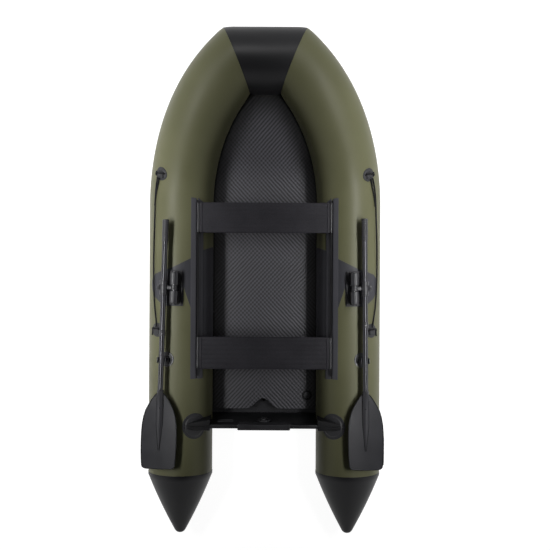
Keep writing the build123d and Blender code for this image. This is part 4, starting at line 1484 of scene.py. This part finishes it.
# round moulded patch whose two cheeks grip the end of the board; the cheeks wear near-black rubber, painted
# shade for the dark round them
def makeHolder(side):
    bm = bmesh.new()
    h = holder
    r, foot = h["radius"], h["footR"]
    outline = discOutline((0, 0.015, 0.030, 0.045, foot, r), [
        (r, 0.0026), (r - 0.002, 0.0046), (r - 0.006, 0.0050), (foot + 0.010, 0.0040),
        (foot + 0.005, 0.0044), (foot + 0.002, 0.0070), (foot - 0.001, 0.0086), (foot - 0.005, 0.0090),
        (foot - 0.009, 0.0078), (0.036, 0.0074), (0.018, 0.0074), (0, 0.0074)])
    addDisc(bm, outline, transom["y"], h["lean"], 72)
    disc = set(bm.faces)
    for way in (1, -1):
        sections = []
        for x, aft, front, top in h["stations"]:
            inner = way * 0.0016
            outer = front if way > 0 else aft
            flat = abs(outer - inner)
            edge = min(0.012, flat * 0.45)
            base = topAt(x, 0.004)
            tall = max(top - base, 0.002)
            edge = min(edge, tall * 0.8)
            points = [(inner, base), (inner, top - 0.0015), (inner + way * 0.0015, top)]
            points += [(outer - way * edge * (1 - sin(a)), top - edge * (1 - cos(a)))
                       for a in (pi / 2 * i / 5 for i in range(6))]
            points += [(outer + way * 0.004, base + tall * 0.25), (outer + way * 0.010, base)]
            sections.append([bm.verts.new((x, transom["y"] + y, z)) for y, z in points])
        loops = []
        for verts in sections:
            loops += [bm.edges.new(pair) for pair in zip(verts, verts[1:] + verts[:1])]
        bmesh.ops.bridge_loops(bm, edges=loops)
        for verts in (sections[0], sections[-1]):
            bmesh.ops.contextual_create(bm, geom=[e for e in loops if set(e.verts) <= set(verts)])
    # painted shade: the cheeks are coloured near-black
    giveLook([f for f in bm.faces if f not in disc], 1)
    finishSide(bm, side, "transomHolder", "black_rubber", "transom_holder", looks=["rim_rubber"])


# fluted cap turned about z
def addFlutedCap(bm, radius, low, high, flutes, place):
    section = fluted(radius, 0.07 * radius, flutes * 8, flutes, 1.4)
    tall = high - low
    stations = ((low, 1), (low + tall * 0.6, 1), (high - tall * 0.12, 0.95), (high, 0.84))
    addSweep(bm, section, runAlong(place, "z", stations))


valves = {"floor": (0.280, -0.720), "tubeY": -0.420, "tubeLean": -72}


def makeFloorValve():
    bm = bmesh.new()
    x, y = valves["floor"]
    place = shift(x, y, hull["axisZ"] + airFloor["top"] + 0.0002)
    outline = [(0, 0), (0.0325, 0), (0.0325, 0.0022), (0.0310, 0.0036), (0.0265, 0.0040), (0.0255, 0.0026),
               (0.0215, 0.0026), (0, 0.0026), (0, 0)]
    addTurned(bm, outline, place, 56)
    giveLook(bm.faces, 1)
    addFlutedCap(bm, 0.0200, 0.0022, 0.0088, 16, place)
    addBlock(bm, (0.022, 0.0055, 0.0022), 0.0009, place @ shift(0, 0, 0.0094), 2)
    finishPiece(bm, "floorValve", "black_plastic", standsFor=["floor_valve"], looks=["rim_rubber"])


def makeTubeValves():
    bm = bmesh.new()
    for sign in (1, -1):
        before = set(bm.verts)
        outline = discOutline((0, 0.012, 0.024, 0.030), [
            (0.030, 0.0020), (0.0288, 0.0034), (0.0245, 0.0038), (0.0238, 0.0024), (0.0205, 0.0024),
            (0, 0.0024)])
        addDisc(bm, outline, valves["tubeY"], valves["tubeLean"])
        addFlutedCap(bm, 0.0192, 0.0015, 0.0066, 14, tubeSpot(valves["tubeY"], valves["tubeLean"], 0.0))
        if sign < 0:
            mirrorNew(bm, before)
    finishPiece(bm, "tubeValves", "black_plastic", standsFor=["tube_valves"])


handle = {
    "from": -1.185, "to": -0.939, "padLong": 0.056, "padWide": 0.090,
    # from the grip's end: how far along, how far off the tube, and the size of the section
    "bend": [(0, 0.003, 1.15), (0.001, 0.010, 1.1), (0.006, 0.019, 1.0), (0.016, 0.025, 0.95),
             (0.030, 0.0262, 0.92)],
}


# moulded strap handle: wrapped end pads and a finger-ribbed grip bowed between them
def makeHandle(side):
    bm = bmesh.new()
    h = handle
    for y in (h["from"] + h["padLong"] / 2, h["to"] - h["padLong"] / 2):
        before = set(bm.verts)
        addSlab(bm, roundedRect(h["padWide"], h["padLong"], 0.014), 0.0055, 0.0025,
                shift(0, 0, 0.0004), 3, rim=(0.007, 0.0018))
        layOnTube(bm, before, y, 90, 0.010)
    tubeSide = hull["axisX"] + hull["radius"]
    low, high = h["from"] + 0.017, h["to"] - 0.017
    path = [(low + up, off, share) for up, off, share in h["bend"]]
    ends, bow = h["bend"][-1][:2]
    for i in range(1, 22):
        y = low + ends + (high - low - 2 * ends) * i / 22
        ridge = 1.0 if i % 4 in (0, 1) else 0.93
        path.append((y, bow, ridge * 0.98))
    path += [(high + low - y, off, share) for y, off, share in reversed(path[:5])]
    places = []
    for i, (y, off, share) in enumerate(path):
        ahead, behind = path[min(i + 1, len(path) - 1)], path[max(i - 1, 0)]
        along = Vector((ahead[1] - behind[1], ahead[0] - behind[0], 0)).normalized()
        across = Vector((along.y, -along.x, 0))
        here = Vector((tubeSide + off, y, hull["axisZ"]))
        places.append(axesMatrix(here, across, along.cross(across), along) @ swell(share))
    addSweep(bm, roundedRect(0.012, 0.034, 0.005), places)
    finishSide(bm, side, "carryHandle", "black_rubber", "carry_handle")


tow = {
    "lean": 15, "radius": 0.060, "barLift": 0.016, "eyeR": 0.0085,
    "rodR": 0.004, "half": 0.032, "long": 0.052, "corner": 0.014,
}


# frame that touches the bow tube, lean degrees forward of straight down
def bowSpot(lean, lift=0.0):
    a = radians(lean)
    normal = Vector((0, sin(a), -cos(a)))
    centre = Vector((0, hull["bowY"], sheerAt(hull["bowY"])))
    x = Vector((1, 0, 0))
    return axesMatrix(centre + normal * (hull["radius"] + lift), x, normal.cross(x), normal)


def makeTowPatch():
    bm = bmesh.new()
    w = tow
    r = w["radius"]
    outline = discOutline((0, 0.020, 0.040, r), [
        (r, 0.0036), (r - 0.002, 0.0054), (r - 0.008, 0.0060), (r - 0.012, 0.0048), (r - 0.016, 0.0048),
        (r - 0.019, 0.0062), (0.030, 0.0066), (0.015, 0.0066), (0, 0.0066)], 0.0018)
    addTurned(bm, outline, steps=64)
    cutEvery(bm, set(), 1, -r, r, 0.012)
    for v in bm.verts:
        spot = bowSpot(w["lean"] - degrees(v.co.y / hull["radius"]), v.co.z)
        v.co = spot @ Vector((v.co.x, 0, 0))
    for way in (1, -1):
        before = set(bm.verts)
        lug = [(-0.013, 0), (0.013, 0), (0.011, 0.014)]
        for i in range(11):
            x, y = polar(w["eyeR"], pi * i / 10)
            lug.append((x, w["barLift"] + y))
        lug.append((-0.011, 0.014))
        addSlab(bm, lug, 0.008, 0.001, facing((way * 0.012 - 0.004, 0, 0), "x"))
        move(bm, before, bowSpot(w["lean"], 0.0012))
    finishPiece(bm, "towingPatch", "black_rubber", standsFor=["towing_patch"])


# bar bent to a ring and welded: it hangs from its straight side
def makeTowRing():
    bm = bmesh.new()
    w = tow
    at = bowSpot(w["lean"], w["barLift"]).translation
    outline = roundedRect(2 * w["half"], w["long"], w["corner"], 7)
    line = [Vector((at.x + x, at.y, at.z - w["long"] / 2 + y)) for x, y in outline]
    places = []
    for i, here in enumerate(line):
        z = (line[(i + 1) % len(line)] - line[i - 1]).normalized()
        x = Vector((0, 1, 0))
        places.append(axesMatrix(here, x, z.cross(x), z))
    addSweep(bm, circle(w["rodR"], 16), places + places[:1], close=False)
    weld(bm, bm.verts, 1e-5)
    finishPiece(bm, "towingRing", "steel", body="towing_ring", standsFor=["towing_ring"], sharp=60)


# channel that runs on the rail's bead, and the strip that joins it to the seat's end
def makeSlides(name):
    low, high = boxOf(f"seat_{name}")
    long = high.y - low.y - 0.008
    middle = (low.y + high.y) / 2
    lean = asin((hull["axisX"] - seatRail["beadX"]) / (hull["radius"] + seatRail["beadLift"]))
    z = hull["axisZ"] + (hull["radius"] + seatRail["beadLift"]) * cos(lean)
    bm = bmesh.new()
    for sign in (1, -1):
        before = set(bm.verts)
        outer, inner = 0.007, seatRail["beadR"] + 0.00045
        gap = radians(38)
        down = -pi / 2 + lean
        turns = [down + gap + (2 * pi - 2 * gap) * i / 26 for i in range(27)]
        section = [polar(outer, a) for a in turns] + [polar(inner, a) for a in reversed(turns)]
        ends = [facing((seatRail["beadX"], middle + way * long / 2, z), "-y") for way in (-1, 1)]
        addSweep(bm, section, ends)
        addBlock(bm, (seatRail["beadX"] - seats["half"] - 0.001, long, 0.008), 0.0018,
                 shift((seatRail["beadX"] + seats["half"]) / 2 - 0.0005, middle, z + 0.0025 - 0.004), 2)
        if sign < 0:
            mirrorNew(bm, before)
    finishPiece(bm, f"seatSlides.{name}", "black_plastic", body=f"seat_{name}",
                standsFor=[f"seat_{name}_slides"])


for make in (makeTransom, makeMotorPlate, makeDrain, makePlate, makeFloorValve, makeTubeValves, makeTowPatch,
             makeTowRing):
    make()
for name in seatNames:
    makeSlides(name)
for side in sides:
    makeHolder(side)
    makeHandle(side)
print("transom, valves, handles and towing ring made")


# the CAD's own meshes wear the same finishes
for part in frame["record"]["subparts"]:
    mesh = frame["nodes"][part["node"]].data
    mesh.materials.clear()
    mesh.materials.append(finishes[part["material_slot"]])
